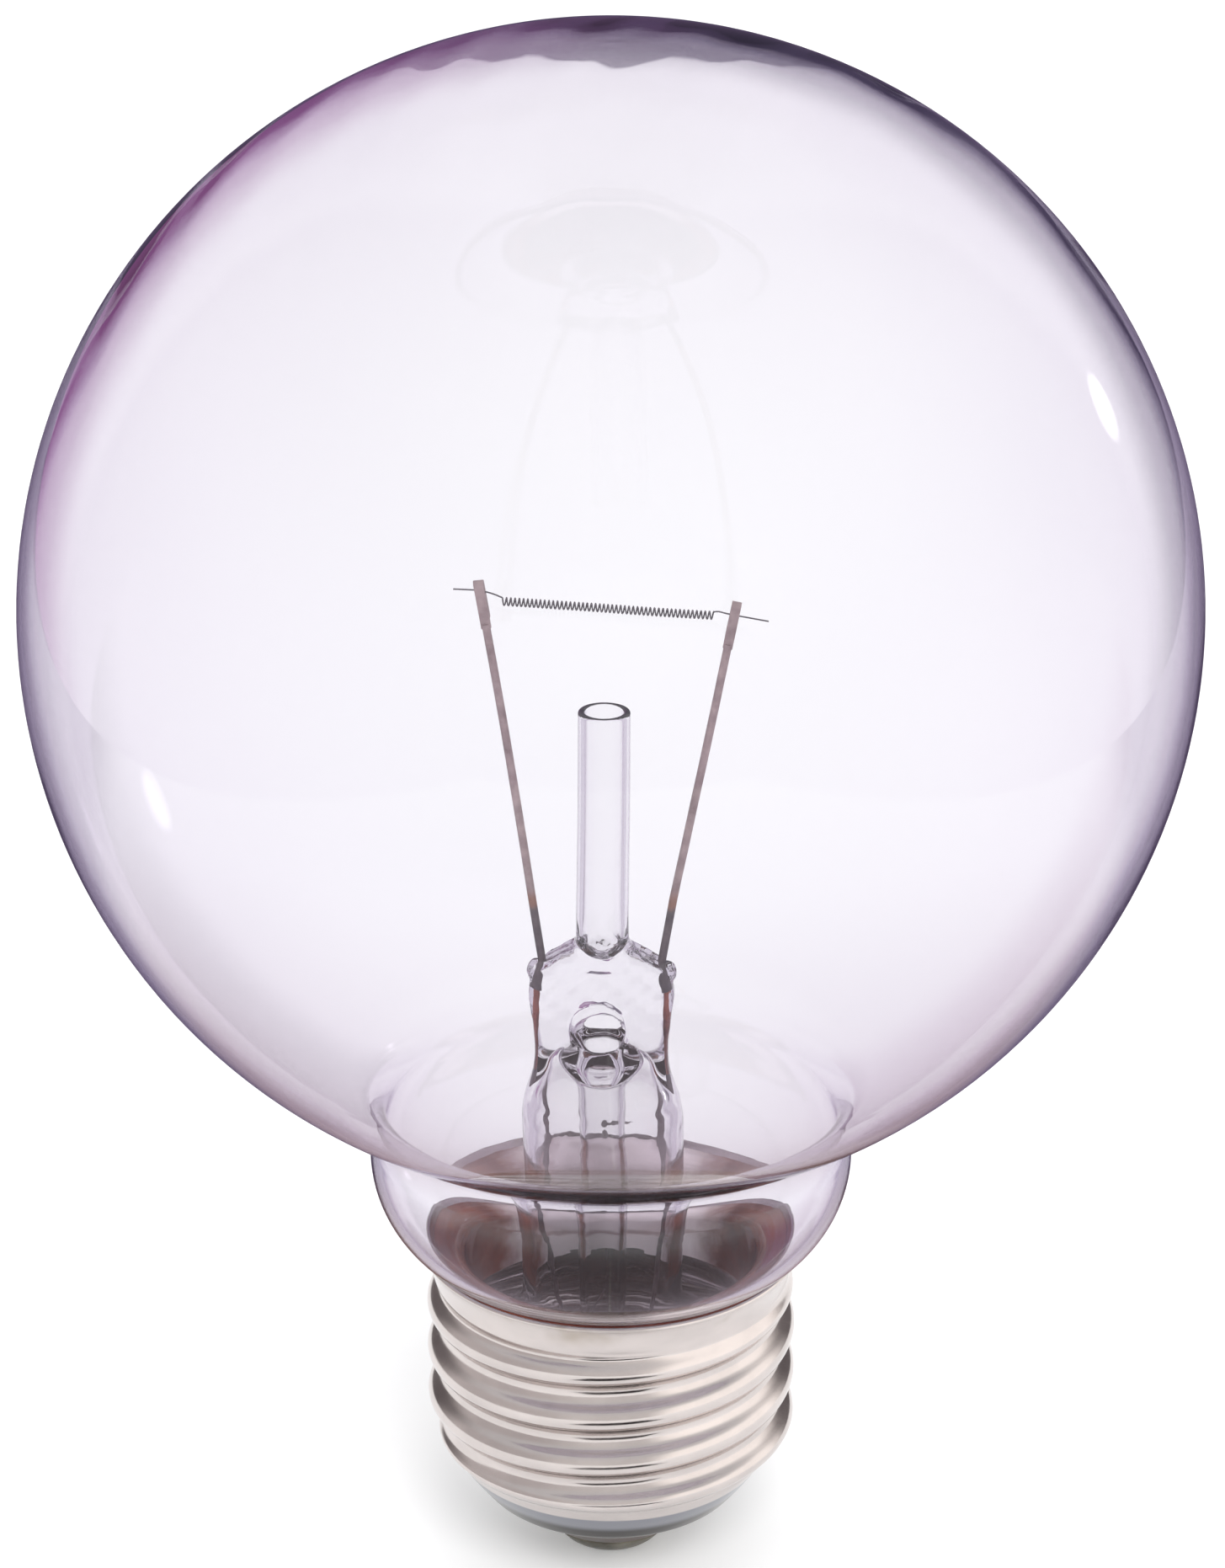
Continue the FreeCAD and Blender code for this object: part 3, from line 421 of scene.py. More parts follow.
def globe_glass():
    """Blown wall with its true thickness: even outside, slowly uneven inside."""
    outer = blown_profile(0.0, GLOBE_STEP)
    inner = blown_profile(GLASS_WALL, GLOBE_STEP)[::-1]
    foot = [np.array([NECK_RADIUS - inset, NECK_FOOT + rise])
            for inset, rise in ((0.0, FOOT_ROUND), (GLASS_WALL / 2, 0.0), (GLASS_WALL, FOOT_ROUND))]
    profile = [(p, 0.0) for p in outer + foot] + [(p, 1.0) for p in inner]
    points = []
    for (radius, height), inside in profile:
        fade = inside * min(1.0, max(height - WAVE_FOOT, 0.0) / WAVE_RISE)
        for j in range(GLOBE_COLUMNS):
            angle = TAU * j / GLOBE_COLUMNS
            x = radius * math.cos(angle)
            y = radius * math.sin(angle)
            shrink = 1 - fade * wall_wave(x, y, height) / WAVE_RADIUS
            points.append((x * shrink, y * shrink, height + (height - WAVE_CENTRE_Z) * (shrink - 1)))
    faces = [tuple(reversed(f)) for f in grid_faces(len(profile), GLOBE_COLUMNS)]
    last_row = (len(profile) - 1) * GLOBE_COLUMNS
    faces.append(tuple(range(GLOBE_COLUMNS)))
    faces.append(tuple(reversed([last_row + j for j in range(GLOBE_COLUMNS)])))
    make_piece("globe_glass", points, faces, "bulb_glass", "globe_envelope")


globe_glass()


# Screw cap, in millimetres as in the CAD

PITCH = 25.4 / 7
ROLL = 1.025
CREST_RADIUS = 13.1
CREST_Z = 20.45

# Heights and radii of the shell from its lip to its rim
THREAD_FOOT = 8.4
THREAD_TOP = 22.1
THREAD_FADE = 1.5
SHELL_FOOT = 4.4
SHELL_FOOT_RADIUS = 8.7
SHELL_SHOULDER = 10.5
SHOULDER_POWER = 1.35
LIP_HEIGHT = 0.9
LIP_DEPTH = 0.9
SHELL_FLARE = 20.9
SHELL_RIM = 24.5
SHELL_RIM_RADIUS = 13.6
FLARE_POWER = 2.2
PAST_FOOT = 1.01
SHEET = 0.28
SHELL_COLUMNS = 240
SHELL_ROWS = 150


def thread_wave(distance):
    """Knuckle thread's height at a distance from a crest along the axis: rounds of one radius, in turn."""
    quarter = PITCH / 4
    depth = 2 * ROLL - math.sqrt(4 * ROLL ** 2 - (2 * quarter) ** 2)
    along = abs((distance + 2 * quarter) % PITCH - 2 * quarter)
    if along <= quarter:
        return depth / 2 - ROLL + math.sqrt(ROLL ** 2 - along ** 2)
    along -= 2 * quarter
    return ROLL - depth / 2 - math.sqrt(ROLL ** 2 - along ** 2)


def smooth_step(value):
    clipped = min(max(value, 0.0), 1.0)
    return clipped * clipped * (3 - 2 * clipped)


def shell_mean(height):
    """Radius of the shell without its thread: lip, cone, barrel and flared rim."""
    barrel = CREST_RADIUS - thread_wave(0)
    if height < SHELL_SHOULDER:
        down = (SHELL_SHOULDER - height) / (SHELL_SHOULDER - SHELL_FOOT)
        lip = max(1 - (height - SHELL_FOOT) / LIP_HEIGHT, 0)
        cone = barrel - (barrel - SHELL_FOOT_RADIUS) * min(down, PAST_FOOT) ** SHOULDER_POWER
        return cone - LIP_DEPTH * min(lip, PAST_FOOT) ** 2
    flare = max(height - SHELL_FLARE, 0) / (SHELL_RIM - SHELL_FLARE)
    return barrel + (SHELL_RIM_RADIUS - barrel) * flare ** FLARE_POWER


def shell_radius(height, angle):
    """Radius with the thread, which fades out below the rim and above the cone."""
    crest = CREST_Z + PITCH * (angle + math.pi / 2) / TAU
    below_rim = smooth_step((THREAD_TOP - height) / THREAD_FADE)
    above_cone = smooth_step((height - THREAD_FOOT) / THREAD_FADE)
    return shell_mean(height) + below_rim * above_cone * thread_wave(height - crest)


def shell_point(height, angle, inset):
    """Point of the shell set in from its outside, square to the sheet."""
    small = 0.01
    slope = (shell_radius(height + small, angle) - shell_radius(height - small, angle)) / (2 * small)
    steep = math.hypot(1, slope)
    radius = shell_radius(height, angle) - inset / steep
    return (radius * math.cos(angle), radius * math.sin(angle), height + inset * slope / steep)


def screw_shell():
    """Rolled sheet: up its outside and down its inside."""
    heights = [SHELL_FOOT + (SHELL_RIM - SHELL_FOOT) * i / SHELL_ROWS for i in range(SHELL_ROWS + 1)]
    points = []
    for inset, run in ((0.0, heights), (SHEET, heights[::-1])):
        for height in run:
            for j in range(SHELL_COLUMNS):
                points.append(shell_point(height, TAU * j / SHELL_COLUMNS, inset))
    faces = grid_faces(2 * len(heights), SHELL_COLUMNS, wrap_rows=True)
    make_piece("screw_cap", points, faces, "cap_metal", "screw_shell")


screw_shell()


# Filament, in the stem's own frame

STEM_X = -0.6
STEM_LIFT = 1.5
STEM_TURN = math.radians(-4.0)
COIL_START = (-6.81, 0.2, 71.16)
COIL_END = (7.47, 0.2, 70.72)
COIL_TURNS = 50
COIL_STEPS = 14
COIL_RADIUS = 0.26
LEFT_TAIL = [(-10.09, 0.2, 71.92), (-8.22, 0.2, 71.9), (-7.3, 0.2, 71.65)]
RIGHT_TAIL = [(7.62, 0.2, 71.15), (8.0, 0.2, 70.95), (9.0, 0.2, 70.76), (11.2, 0.2, 70.4)]
TAIL_STEP = 0.15
TAIL_SOFTNESS = 4
WIRE_RADIUS = 0.055
WIRE_SIDES = 8


def stem_place(point):
    """Place on the lamp of a point in the stem's frame: turned, set aside and lifted."""
    x, y, z = point
    return (x * math.cos(STEM_TURN) - y * math.sin(STEM_TURN) + STEM_X,
            x * math.sin(STEM_TURN) + y * math.cos(STEM_TURN), z + STEM_LIFT)


def smooth_path(points, step, softness):
    """Resampled path through points with its corners rounded."""
    points = [np.array(p, float) for p in points]
    dense = []
    for a, b in zip(points, points[1:]):
        count = max(1, int(np.linalg.norm(b - a) / step))
        dense += [a + (b - a) * i / count for i in range(count)]
    dense.append(points[-1])
    dense = np.array(dense)
    for _ in range(softness):
        dense[1:-1] = dense[1:-1] * 0.5 + 0.25 * (dense[:-2] + dense[2:])
    return dense


def sweep(path, radius, sides):
    """Round tube along a path, closed at both ends."""
    path = np.array(path)
    tangents = np.gradient(path, axis=0)
    tangents /= np.linalg.norm(tangents, axis=1)[:, None]
    across = np.array((1.0, 0.0, 0.0))
    points = []
    for centre, tangent in zip(path, tangents):
        across = unit(across - tangent * np.dot(across, tangent))
        up = np.cross(tangent, across)
        for j in range(sides):
            angle = TAU * j / sides
            points.append(tuple(centre + across * radius * math.cos(angle) + up * radius * math.sin(angle)))
    faces = grid_faces(len(path), sides)
    faces.append(tuple(reversed(range(sides))))
    faces.append(tuple((len(path) - 1) * sides + j for j in range(sides)))
    return points, faces


def filament_coil():
    """One coil between the leads, with its two straight tails."""
    start = np.array(stem_place(COIL_START))
    end = np.array(stem_place(COIL_END))
    axis = unit(end - start)
    side = unit(np.cross(axis, (0, 0, 1)))
    up = np.cross(side, axis)
    steps = COIL_TURNS * COIL_STEPS
    path = []
    for i in range(steps + 1):
        angle = TAU * i / COIL_STEPS
        place = start + (end - start) * i / steps
        path.append(place + COIL_RADIUS * (up * math.cos(angle) + side * math.sin(angle)))
    left = smooth_path([stem_place(p) for p in LEFT_TAIL] + [path[0]], TAIL_STEP, TAIL_SOFTNESS)
    right = smooth_path([path[-1]] + [stem_place(p) for p in RIGHT_TAIL], TAIL_STEP, TAIL_SOFTNESS)
    whole = list(left[:-1]) + path + list(right[1:])
    points, faces = sweep(whole, WIRE_RADIUS, WIRE_SIDES)
    make_piece("filament_coil", points, faces, "filament_wire", "filament")


filament_coil()


# Stem glass, in the stem's own frame

STEM_FOOT = 12.6
FLARE_RIM = 8.6
FLARE_FOOT = 1.2
FLARE_ARC = 6.0
TUBE_RADIUS = 5.75
TUBE_WALL = 0.8
TUBE_TOP = 31.4
PAD_TOP = 45.75
PAD_CORNER = 4.1
SHOULDER_FROM = 1.7
SHOULDER_WIDTH = 2.3
SHOULDER_DROP = 1.25
KNOB_RADIUS = 0.62
KNOB_X = 4.55
KNOB_Z = 43.75
HOLLOW_TOP = 38.3
COLLAR_RADIUS = 2.60
COLLAR_HALF = 1.7
COLLAR_Z = 37.1
ARBOR_RADIUS = 1.8
ARBOR_BORE = 1.33
ARBOR_FOOT = 44.6
ARBOR_BORE_FOOT = 45.0
ARBOR_TOP = 63.5
EXHAUST_RADIUS = 1.7
EXHAUST_BORE = 1.3
EXHAUST_TOP = 37.5
EXHAUST_TIP = 8.3
EXHAUST_BORE_TOP = 40.2
EXHAUST_BORE_FOOT = 10.2
DRAWN_FROM = 13.3
DRAWN_LENGTH = 4.3
FUNNEL_FROM = 36.4
FUNNEL_LENGTH = 2.2
FUNNEL_WIDTH = 0.65
ARCH_X = -0.20
ARCH_Z = 39.75
ARCH_RADIUS = 1.95
ARCH_SILL = 38.90
ARCH_BACK = 0.2
FUSED_SOFTNESS = 0.5
ARBOR_SOFTNESS = 0.7
PAD_ROUND = 0.7
HOLLOW_ROUND = 1.6
WORKED_FROM = 37.5
WORKED_RISE = 2.5
WORKED_TOP = 48.0
WORKED_FALL = 2.0
WORKED_LEAST = 0.12

# Rows of height, half width, half depth and the power of the oval
PRESS_OUTSIDE = np.array([
    (31.4, 5.75, 5.75, 2.0), (32.6, 5.70, 5.55, 2.0), (33.9, 5.47, 4.75, 2.1), (35.0, 5.12, 3.60, 2.2),
    (36.1, 4.80, 2.45, 2.5), (37.3, 4.66, 1.75, 2.8), (38.6, 4.67, 1.58, 3.0), (40.4, 4.84, 1.55, 3.0),
    (42.4, 5.06, 1.55, 3.0), (46.4, 5.06, 1.45, 3.0)])
PRESS_INSIDE = np.array([
    (31.4, 4.95, 4.95, 2.0), (32.6, 4.88, 4.75, 2.0), (33.9, 4.55, 3.85, 2.1), (35.0, 4.10, 2.60, 2.2),
    (36.1, 3.70, 1.55, 2.2), (37.3, 3.45, 0.98, 2.2), (38.8, 3.20, 0.80, 2.2)])


def smooth_min(a, b, size):
    share = np.maximum(size - np.abs(a - b), 0.0) / size
    return np.minimum(a, b) - share * share * size / 4


def smooth_max(a, b, size):
    return -smooth_min(-a, -b, size)


def eased(table, column, z):
    """Table column at z, eased between its rows."""
    rows = table[:, 0]
    place = np.clip(np.interp(z, rows, np.arange(len(rows))), 0, len(rows) - 1)
    low = np.minimum(place.astype(int), len(rows) - 2)
    share = place - low
    values = table[:, column]
    before = values[np.maximum(low - 1, 0)]
    after = values[np.minimum(low + 2, len(rows) - 1)]
    a, b = values[low], values[low + 1]
    return a + 0.5 * share * (b - before + share * (2 * before - 5 * a + 4 * b - after
                                                    + share * (3 * (a - b) + after - before)))


def oval_distance(x, y, half_x, half_y, power):
    """Distance to an oval of any power, nearly true close to it."""
    u = np.abs(x) / half_x + 1e-6
    v = np.abs(y) / half_y + 1e-6
    g = (u ** power + v ** power) ** (1 / power)
    slope_x = g ** (1 - power) * u ** (power - 1) / half_x
    slope_y = g ** (1 - power) * v ** (power - 1) / half_y
    return (g - 1) / np.sqrt(slope_x ** 2 + slope_y ** 2 + 1e-9)


def flare_radius(z, offset):
    """Radius of the flared tube's outside, or of its inside where the wall is given as the offset."""
    centre_r = TUBE_RADIUS + FLARE_ARC
    centre_z = STEM_FOOT + FLARE_FOOT + math.sqrt(FLARE_ARC ** 2 - (centre_r - FLARE_RIM) ** 2)
    down = np.clip(centre_z - z, 0, FLARE_ARC + offset - 0.05)
    return centre_r - np.sqrt((FLARE_ARC + offset) ** 2 - down ** 2)


def lumps(x, y, z):
    """Unevenness of glass that was worked hot."""
    return (0.035 * np.sin(2.3 * x + 1.1 * z) * np.cos(1.9 * z - 1.3 * y)
            + 0.022 * np.sin(4.1 * x - 2.7 * z + 1.7) * np.cos(3.3 * y + 2.2 * z)
            + 0.012 * np.sin(8.3 * x + 5.1 * z) * np.cos(6.9 * z + 4 * y + 0.6))


def tube_and_press(x, y, z, table, offset):
    """Distance to the flared tube below and the pinched press above it, outside or inside."""
    press = oval_distance(x, y, eased(table, 1, z), eased(table, 2, z), eased(table, 3, z))
    return np.where(z < TUBE_TOP, np.hypot(x, y) - flare_radius(z, offset), press)


def pad_top(x, y):
    """Upper edge of the pad: level in the middle and lower at its shoulders, with fine ridges."""
    shoulder = np.clip(np.abs(x) - SHOULDER_FROM, 0, 4) / SHOULDER_WIDTH
    ridges = 0.10 * np.cos(7.5 * y + 0.5 * x) * np.clip(shoulder, 0, 1)
    corner = np.clip(np.abs(x) - PAD_CORNER, 0, 2)
    return PAD_TOP - SHOULDER_DROP * shoulder ** 1.25 - 1.2 * corner ** 1.5 + ridges


def solid_pad(x, y, z):
    """Flare and pad as if they were full, with the knobs where the leads come out."""
    solid = tube_and_press(x, y, z, PRESS_OUTSIDE, 0.0)
    solid = smooth_max(solid, (z - pad_top(x, y)) * 0.9, PAD_ROUND)
    for side in (-1, 1):
        from_knob = np.sqrt((x - side * KNOB_X) ** 2 + (y * 0.8) ** 2 + ((z - KNOB_Z) * 0.8) ** 2)
        solid = smooth_min(solid, from_knob - KNOB_RADIUS, FUSED_SOFTNESS)
    return solid


def hollow_pad(x, y, z):
    """Flare and pad with their hollow, cut at the flare's rim and foot."""
    hollow = tube_and_press(x, y, z, PRESS_INSIDE, TUBE_WALL)
    hollow = smooth_max(hollow, (z - HOLLOW_TOP) * 0.9, HOLLOW_ROUND)
    body = smooth_max(solid_pad(x, y, z), -hollow, 0.12)
    body = smooth_max(body, np.hypot(x, y) - FLARE_RIM, 0.15)
    return smooth_max(body, STEM_FOOT + 0.05 - z, 0.12)


def drawn(z):
    """How far the exhaust tube is drawn thin: 0 in the tube and 1 near its tip."""
    return np.clip((DRAWN_FROM - z) / DRAWN_LENGTH, 0, 1)


def exhaust_outside(r, z):
    tube = smooth_max(r - EXHAUST_RADIUS * (1 - 0.5 * drawn(z)), z - EXHAUST_TOP, 0.2)
    return smooth_max(tube, EXHAUST_TIP - z, 0.9)


def exhaust_bore(r, z):
    """Bore that opens as a funnel into the blow hole."""
    funnel = FUNNEL_WIDTH * np.clip((z - FUNNEL_FROM) / FUNNEL_LENGTH, 0, 1) ** 2
    bore = smooth_max(r - EXHAUST_BORE * (1 - 0.6 * drawn(z)) - funnel, EXHAUST_BORE_FOOT - z, 0.6)
    return smooth_max(bore, z - EXHAUST_BORE_TOP + 0.3 * r * r, 0.3)


def blow_hole(x, y, z):
    """Arched window through the front of the pad."""
    arch = np.hypot(x - ARCH_X, (z - ARCH_Z) * 0.95) - ARCH_RADIUS
    arch = smooth_max(arch, ARCH_SILL - z, 0.35)
    return smooth_max(arch, y - ARCH_BACK, 0.5)


def stem_distance(x, y, z):
    """Signed distance to the fused glass: flare, pinched pad, arbor tube and exhaust tube."""
    r = np.hypot(x, y)
    from_collar = np.sqrt((r / COLLAR_RADIUS) ** 2 + ((z - COLLAR_Z) / COLLAR_HALF) ** 2)
    collar = (from_collar - 1) * 1.5
    fused = smooth_min(hollow_pad(x, y, z), exhaust_outside(r, z), FUSED_SOFTNESS)
    fused = smooth_min(fused, collar, FUSED_SOFTNESS)
    arbor = smooth_max(r - ARBOR_RADIUS, ARBOR_FOOT - z, 0.2)
    arbor = smooth_max(arbor, z - ARBOR_TOP + 0.05 * y, 0.16)
    fused = smooth_min(fused, arbor, ARBOR_SOFTNESS)
    bore = smooth_max(r - ARBOR_BORE, ARBOR_BORE_FOOT - z + 0.35 * r * r, 0.3)
    fused = smooth_max(fused, -bore, 0.16)
    way = smooth_min(exhaust_bore(r, z), blow_hole(x, y, z), 0.4)
    worked = np.clip((z - WORKED_FROM) / WORKED_RISE, WORKED_LEAST, 1)
    worked = worked * np.clip((WORKED_TOP - z) / WORKED_FALL, 0, 1)
    return smooth_max(fused, -way, 0.14) + worked * lumps(x, y, z)


CUBE = [(a, b, c) for a in (0, 1) for b in (0, 1) for c in (0, 1)]
SETTLE_ROUNDS = 3
SLOPE_STEP = 0.01
LONGEST_STEP = 0.08


def crossing_points(grid, axes, cells):
    """For each cell the middle of the places where its edges cross the surface."""
    total = np.zeros((len(cells), 3))
    hits = np.zeros(len(cells))
    for first in CUBE:
        for axis in range(3):
            if first[axis]:
                continue
            second = list(first)
            second[axis] = 1
            p, q = cells + first, cells + second
            vp, vq = grid[tuple(p.T)], grid[tuple(q.T)]
            cross = (vp < 0) != (vq < 0)
            share = np.where(cross, vp / np.where(cross, vp - vq, 1), 0)
            spot = np.stack([axes[k][p[:, k]] + share * (axes[k][q[:, k]] - axes[k][p[:, k]])
                             for k in range(3)], 1)
            total += spot * cross[:, None]
            hits += cross
    return total / hits[:, None]


def settled(distance, points):
    """Points moved along the slope of the distance until they lie on the surface."""
    for _ in range(SETTLE_ROUNDS):
        value = distance(*points.T)
        slope = np.stack([(distance(*(points + d).T) - distance(*(points - d).T)) / (2 * SLOPE_STEP)
                          for d in np.eye(3) * SLOPE_STEP], 1)
        step = value[:, None] * slope / np.maximum((slope ** 2).sum(1), 0.05)[:, None]
        points = points - np.clip(step, -LONGEST_STEP, LONGEST_STEP)
    return points


def faces_between(inner, index):
    """A face over each grid edge that crosses the surface, through the points of its four cells."""
    faces = []
    for axis in range(3):
        b, c = (axis + 1) % 3, (axis + 2) % 3
        low = [slice(1, -1)] * 3
        low[axis] = slice(0, -1)
        high = list(low)
        high[axis] = slice(1, None)
        here, there = inner[tuple(low)], inner[tuple(high)]
        edges = np.argwhere(here != there)
        rising = here[tuple(edges.T)]
        start = edges + 1
        start[:, axis] -= 1
        ring = []
        for db, dc in ((1, 1), (0, 1), (0, 0), (1, 0)):
            cell = start.copy()
            cell[:, b] -= db
            cell[:, c] -= dc
            ring.append(index[tuple(cell.T)])
        ring = np.stack(ring, 1)
        faces.append(np.where(rising[:, None], ring, ring[:, ::-1]))
    return np.concatenate(faces)


def surface_mesh(distance, xs, ys, zs):
    """Points and faces of the surface where a distance is zero, on a grid of uneven spacing."""
    grid = distance(*np.meshgrid(xs, ys, zs, indexing="ij"))
    inner = grid < 0
    shape = tuple(n - 1 for n in grid.shape)
    count = np.zeros(shape, np.int8)
    for a, b, c in CUBE:
        count += inner[a:a + shape[0], b:b + shape[1], c:c + shape[2]]
    cells = np.argwhere((count > 0) & (count < 8))
    index = -np.ones(shape, np.int64)
    index[tuple(cells.T)] = np.arange(len(cells))
    points = settled(distance, crossing_points(grid, (xs, ys, zs), cells))
    return points, faces_between(inner, index)


def spaced(stops):
    """Grid lines from (place, spacing to the next place) stops."""
    lines = []
    for (a, spacing), (b, _) in zip(stops, stops[1:]):
        count = max(1, round((b - a) / spacing))
        lines += [a + (b - a) * i / count for i in range(count)]
    return np.array(lines + [stops[-1][0]])


def stem_glass():
    """The fused glass, on a grid that is finest where the glass was pinched."""
    across = spaced([(-9.2, 0.32), (-6.08, 0.16), (6.08, 0.32), (9.2, 0)])
    upright = spaced([(7.9, 0.35), (12.3, 0.18), (13.9, 0.4), (31.5, 0.18), (47.3, 0.6), (62.9, 0.1),
                      (63.8, 0)])
    points, faces = surface_mesh(stem_distance, across, across, upright)
    placed = np.array([stem_place(p) for p in points])
    make_piece("stem_glass", placed, faces.tolist(), "stem_glass",
               "stem_flare", "arbor_tube", "exhaust_tube")


stem_glass()


# Nodes of the CAD that are seen as they are, with their materials

CAD_SLOTS = {
    "basing_cement": "cement",
    "base_insulator": "insulator_glass",
    "contact_eyelet": "contact_metal",
    "contact_solder": "solder",
    "side_solder": "solder",
    "left_inner_lead": "lead_wire",
    "right_inner_lead": "lead_wire",
    "left_seal_wire": "seal_wire",
    "right_seal_wire": "seal_wire",
    "side_lead": "lead_wire",
    "centre_lead": "lead_wire",
}

for node, slot_name in CAD_SLOTS.items():
    nodes[node].data.materials.clear()
    nodes[node].data.materials.append(MATERIALS[slot_name])
    nodes[node].data.shade_smooth()


# Studio, in metres, with the directions from which its light comes

LOOK = (0.0, 0.910, -0.415)
SLATE_BEHIND = (0.085, 0.068, 0.120)
VIOLET_BEHIND = (0.340, 0.130, 0.330)
FRONT_OF_GLASS = (0.95, 0.92, 0.97)
LEFT_OF_GLASS = (0.62, 0.60, 0.63)
RIGHT_OF_GLASS = (0.94, 0.94, 0.94)
LAVENDER = (0.80, 0.75, 0.84)
DARK_ENDS = (0.17, 0.15, 0.155)
FRONT_OF_METAL = (0.84, 0.82, 0.81)
LEFT_OF_METAL = (0.68, 0.64, 0.64)
RIGHT_OF_METAL = (1.55, 1.50, 1.46)
ROOF_OF_METAL = (0.78, 0.78, 0.79)
SOFT_LIGHT = (0.95, 0.95, 0.95)
WHITE = (1.0, 1.0, 1.0)

# Direction of each window, where its soft edge starts and ends as cosines, and its strength
WINDOWS = (((0.782, 0.616, 0.094), 0.99780, 0.99920, 3.0),
           ((-0.872, 0.095, -0.480), 0.99965, 0.99988, 2.5),
           ((0.700, -0.350, 0.620), 0.99955, 0.99980, 2.0))


def towards(tree, direction, aim):
    node = add(tree, "ShaderNodeVectorMath", operation="DOT_PRODUCT")
    tree.links.new(direction, node.inputs[0])
    node.inputs[1].default_value = aim
    return node.outputs["Value"]


def room_for_glass(tree, direction, x, y, z):
    """Bright room in front and at the sides with windows, and a dark one far behind the lamp."""
    aside = mix(tree, span(tree, x, -0.9, 0.9), LEFT_OF_GLASS, RIGHT_OF_GLASS)
    room = mix(tree, span(tree, z, -0.30, 1.05), FRONT_OF_GLASS, aside)
    low_front = product(tree, span(tree, z, 0.0, 0.70, 1.0, 0.0), span(tree, y, 0.10, 0.45, 1.0, 0.0))
    room = mix(tree, low_front, room, LAVENDER)
    behind = mix(tree, span(tree, x, -0.35, 0.12, 1.0, 0.0), SLATE_BEHIND, VIOLET_BEHIND)
    room = mix(tree, span(tree, towards(tree, direction, LOOK), 0.52, 0.74), room, behind)
    for aim, low, high, strength in WINDOWS:
        window = span(tree, towards(tree, direction, aim), low, high)
        room = mix(tree, window, room, (strength, strength, strength))
    return room


def room_for_metal(tree, x, y, z):
    """Soft boxes at the left, right and above, and dim room behind."""
    room = mix(tree, span(tree, x, -0.80, -0.30, 1.0, 0.0), FRONT_OF_METAL, LEFT_OF_METAL)
    room = mix(tree, span(tree, x, 0.28, 0.60), room, RIGHT_OF_METAL)
    room = mix(tree, span(tree, y, 0.25, 0.70), room, DARK_ENDS)
    return mix(tree, span(tree, z, 0.50, 0.80), room, ROOF_OF_METAL)


def studio_world():
    """White to the camera and soft white to matt surfaces, with a room for glass and one for metal."""
    world = bpy.data.worlds.new("studio")
    bpy.context.scene.world = world
    world.use_nodes = True
    tree = world.node_tree
    background = tree.nodes["Background"]
    direction = add(tree, "ShaderNodeTexCoord").outputs["Generated"]
    x, y, z = split_axes(tree, direction)
    path = add(tree, "ShaderNodeLightPath")
    through = maths(tree, "MAXIMUM", path.outputs["Is Singular Ray"], path.outputs["Is Transmission Ray"])
    room = mix(tree, through, room_for_metal(tree, x, y, z), room_for_glass(tree, direction, x, y, z))
    seen = maths(tree, "MAXIMUM", path.outputs["Is Glossy Ray"], path.outputs["Is Transmission Ray"])
    lit = mix(tree, seen, SOFT_LIGHT, room)
    shown = mix(tree, path.outputs["Is Camera Ray"], lit, WHITE)
    tree.links.new(shown, background.inputs["Color"])
    background.inputs["Strength"].default_value = 1.0


FLOOR_Z = -0.0001
FLOOR_HALF_WIDTH = 0.200
FLOOR_NEAR = -0.45
FLOOR_FAR = 0.75
FLOOR_WHITE = (0.90, 0.90, 0.90)
FLOOR_GLOW = 0.19
WHITE_SPREAD = 0.205
WHITE_START = 0.022
WHITE_END = 0.475
WHITE_LEAN = 1.3
WHITE_EDGE = (0.92, 1.20)
FAR_EDGE = 0.02
BELOW_GLOBE_Y = 0.052
BELOW_GLOBE_HALVES = (0.031, 0.048)
BELOW_GLOBE_EDGE = (0.90, 1.25)
AROUND_IT = (0.150, 0.115, 0.195)
FRONT_STAND = (0.025, 0.020, 0.022)
# Painted shadow of the cap on the floor, seen only in the glass's mirror looks, and where it fades
CAP_PAINTED_SHADOW = (0.32, 0.20, 0.17)
CAP_PAINTED_SHADOW_EDGE = (0.050, 0.150)
MIRRORED_WHITE = (1.15, 1.15, 1.15)
MIRRORED_BACK = (0.11, 0.08, 0.15)
MIRRORED_BACK_EDGE = (0.02, 0.06)
STAND_X = 0.00225
STAND_HALF_WIDTHS = (0.0138, 0.0150)
STAND_BACK = (-0.032, -0.030)
STAND_FRONT = (-0.058, -0.054)


def floor_through_glass(tree, x, y):
    """How far and to what the floor changes for looks bent by glass: lavender aside, dark far behind."""
    beyond = maths(tree, "MAXIMUM", maths(tree, "SUBTRACT", y, WHITE_START), 1e-6)
    reach = product(tree, maths(tree, "SQRT", beyond), WHITE_SPREAD)
    sideways = maths(tree, "ABSOLUTE", x)
    outside = span(tree, maths(tree, "DIVIDE", sideways, reach), *WHITE_EDGE)
    across = maths(tree, "DIVIDE", x, BELOW_GLOBE_HALVES[0])
    along = maths(tree, "DIVIDE", maths(tree, "SUBTRACT", y, BELOW_GLOBE_Y), BELOW_GLOBE_HALVES[1])
    outside = product(tree, outside, span(tree, length_of(tree, across, along), *BELOW_GLOBE_EDGE))
    depth = maths(tree, "SUBTRACT", y, product(tree, sideways, WHITE_LEAN))
    far = span(tree, depth, WHITE_END, WHITE_END + FAR_EDGE)
    return maths(tree, "MAXIMUM", outside, far), mix(tree, far, LAVENDER, AROUND_IT)


def floor_mirrored_in_glass(tree, x, y):
    """The floor as the glass mirrors it: a painted shadow of the cap close to it, and dim behind the lamp.
    """
    from_cap = length_of(tree, x, y)
    # Painted shadow of the cap, dimming the floor close to it
    colour = mix(tree, span(tree, from_cap, *CAP_PAINTED_SHADOW_EDGE), CAP_PAINTED_SHADOW, MIRRORED_WHITE)
    return mix(tree, span(tree, y, *MIRRORED_BACK_EDGE), colour, MIRRORED_BACK)


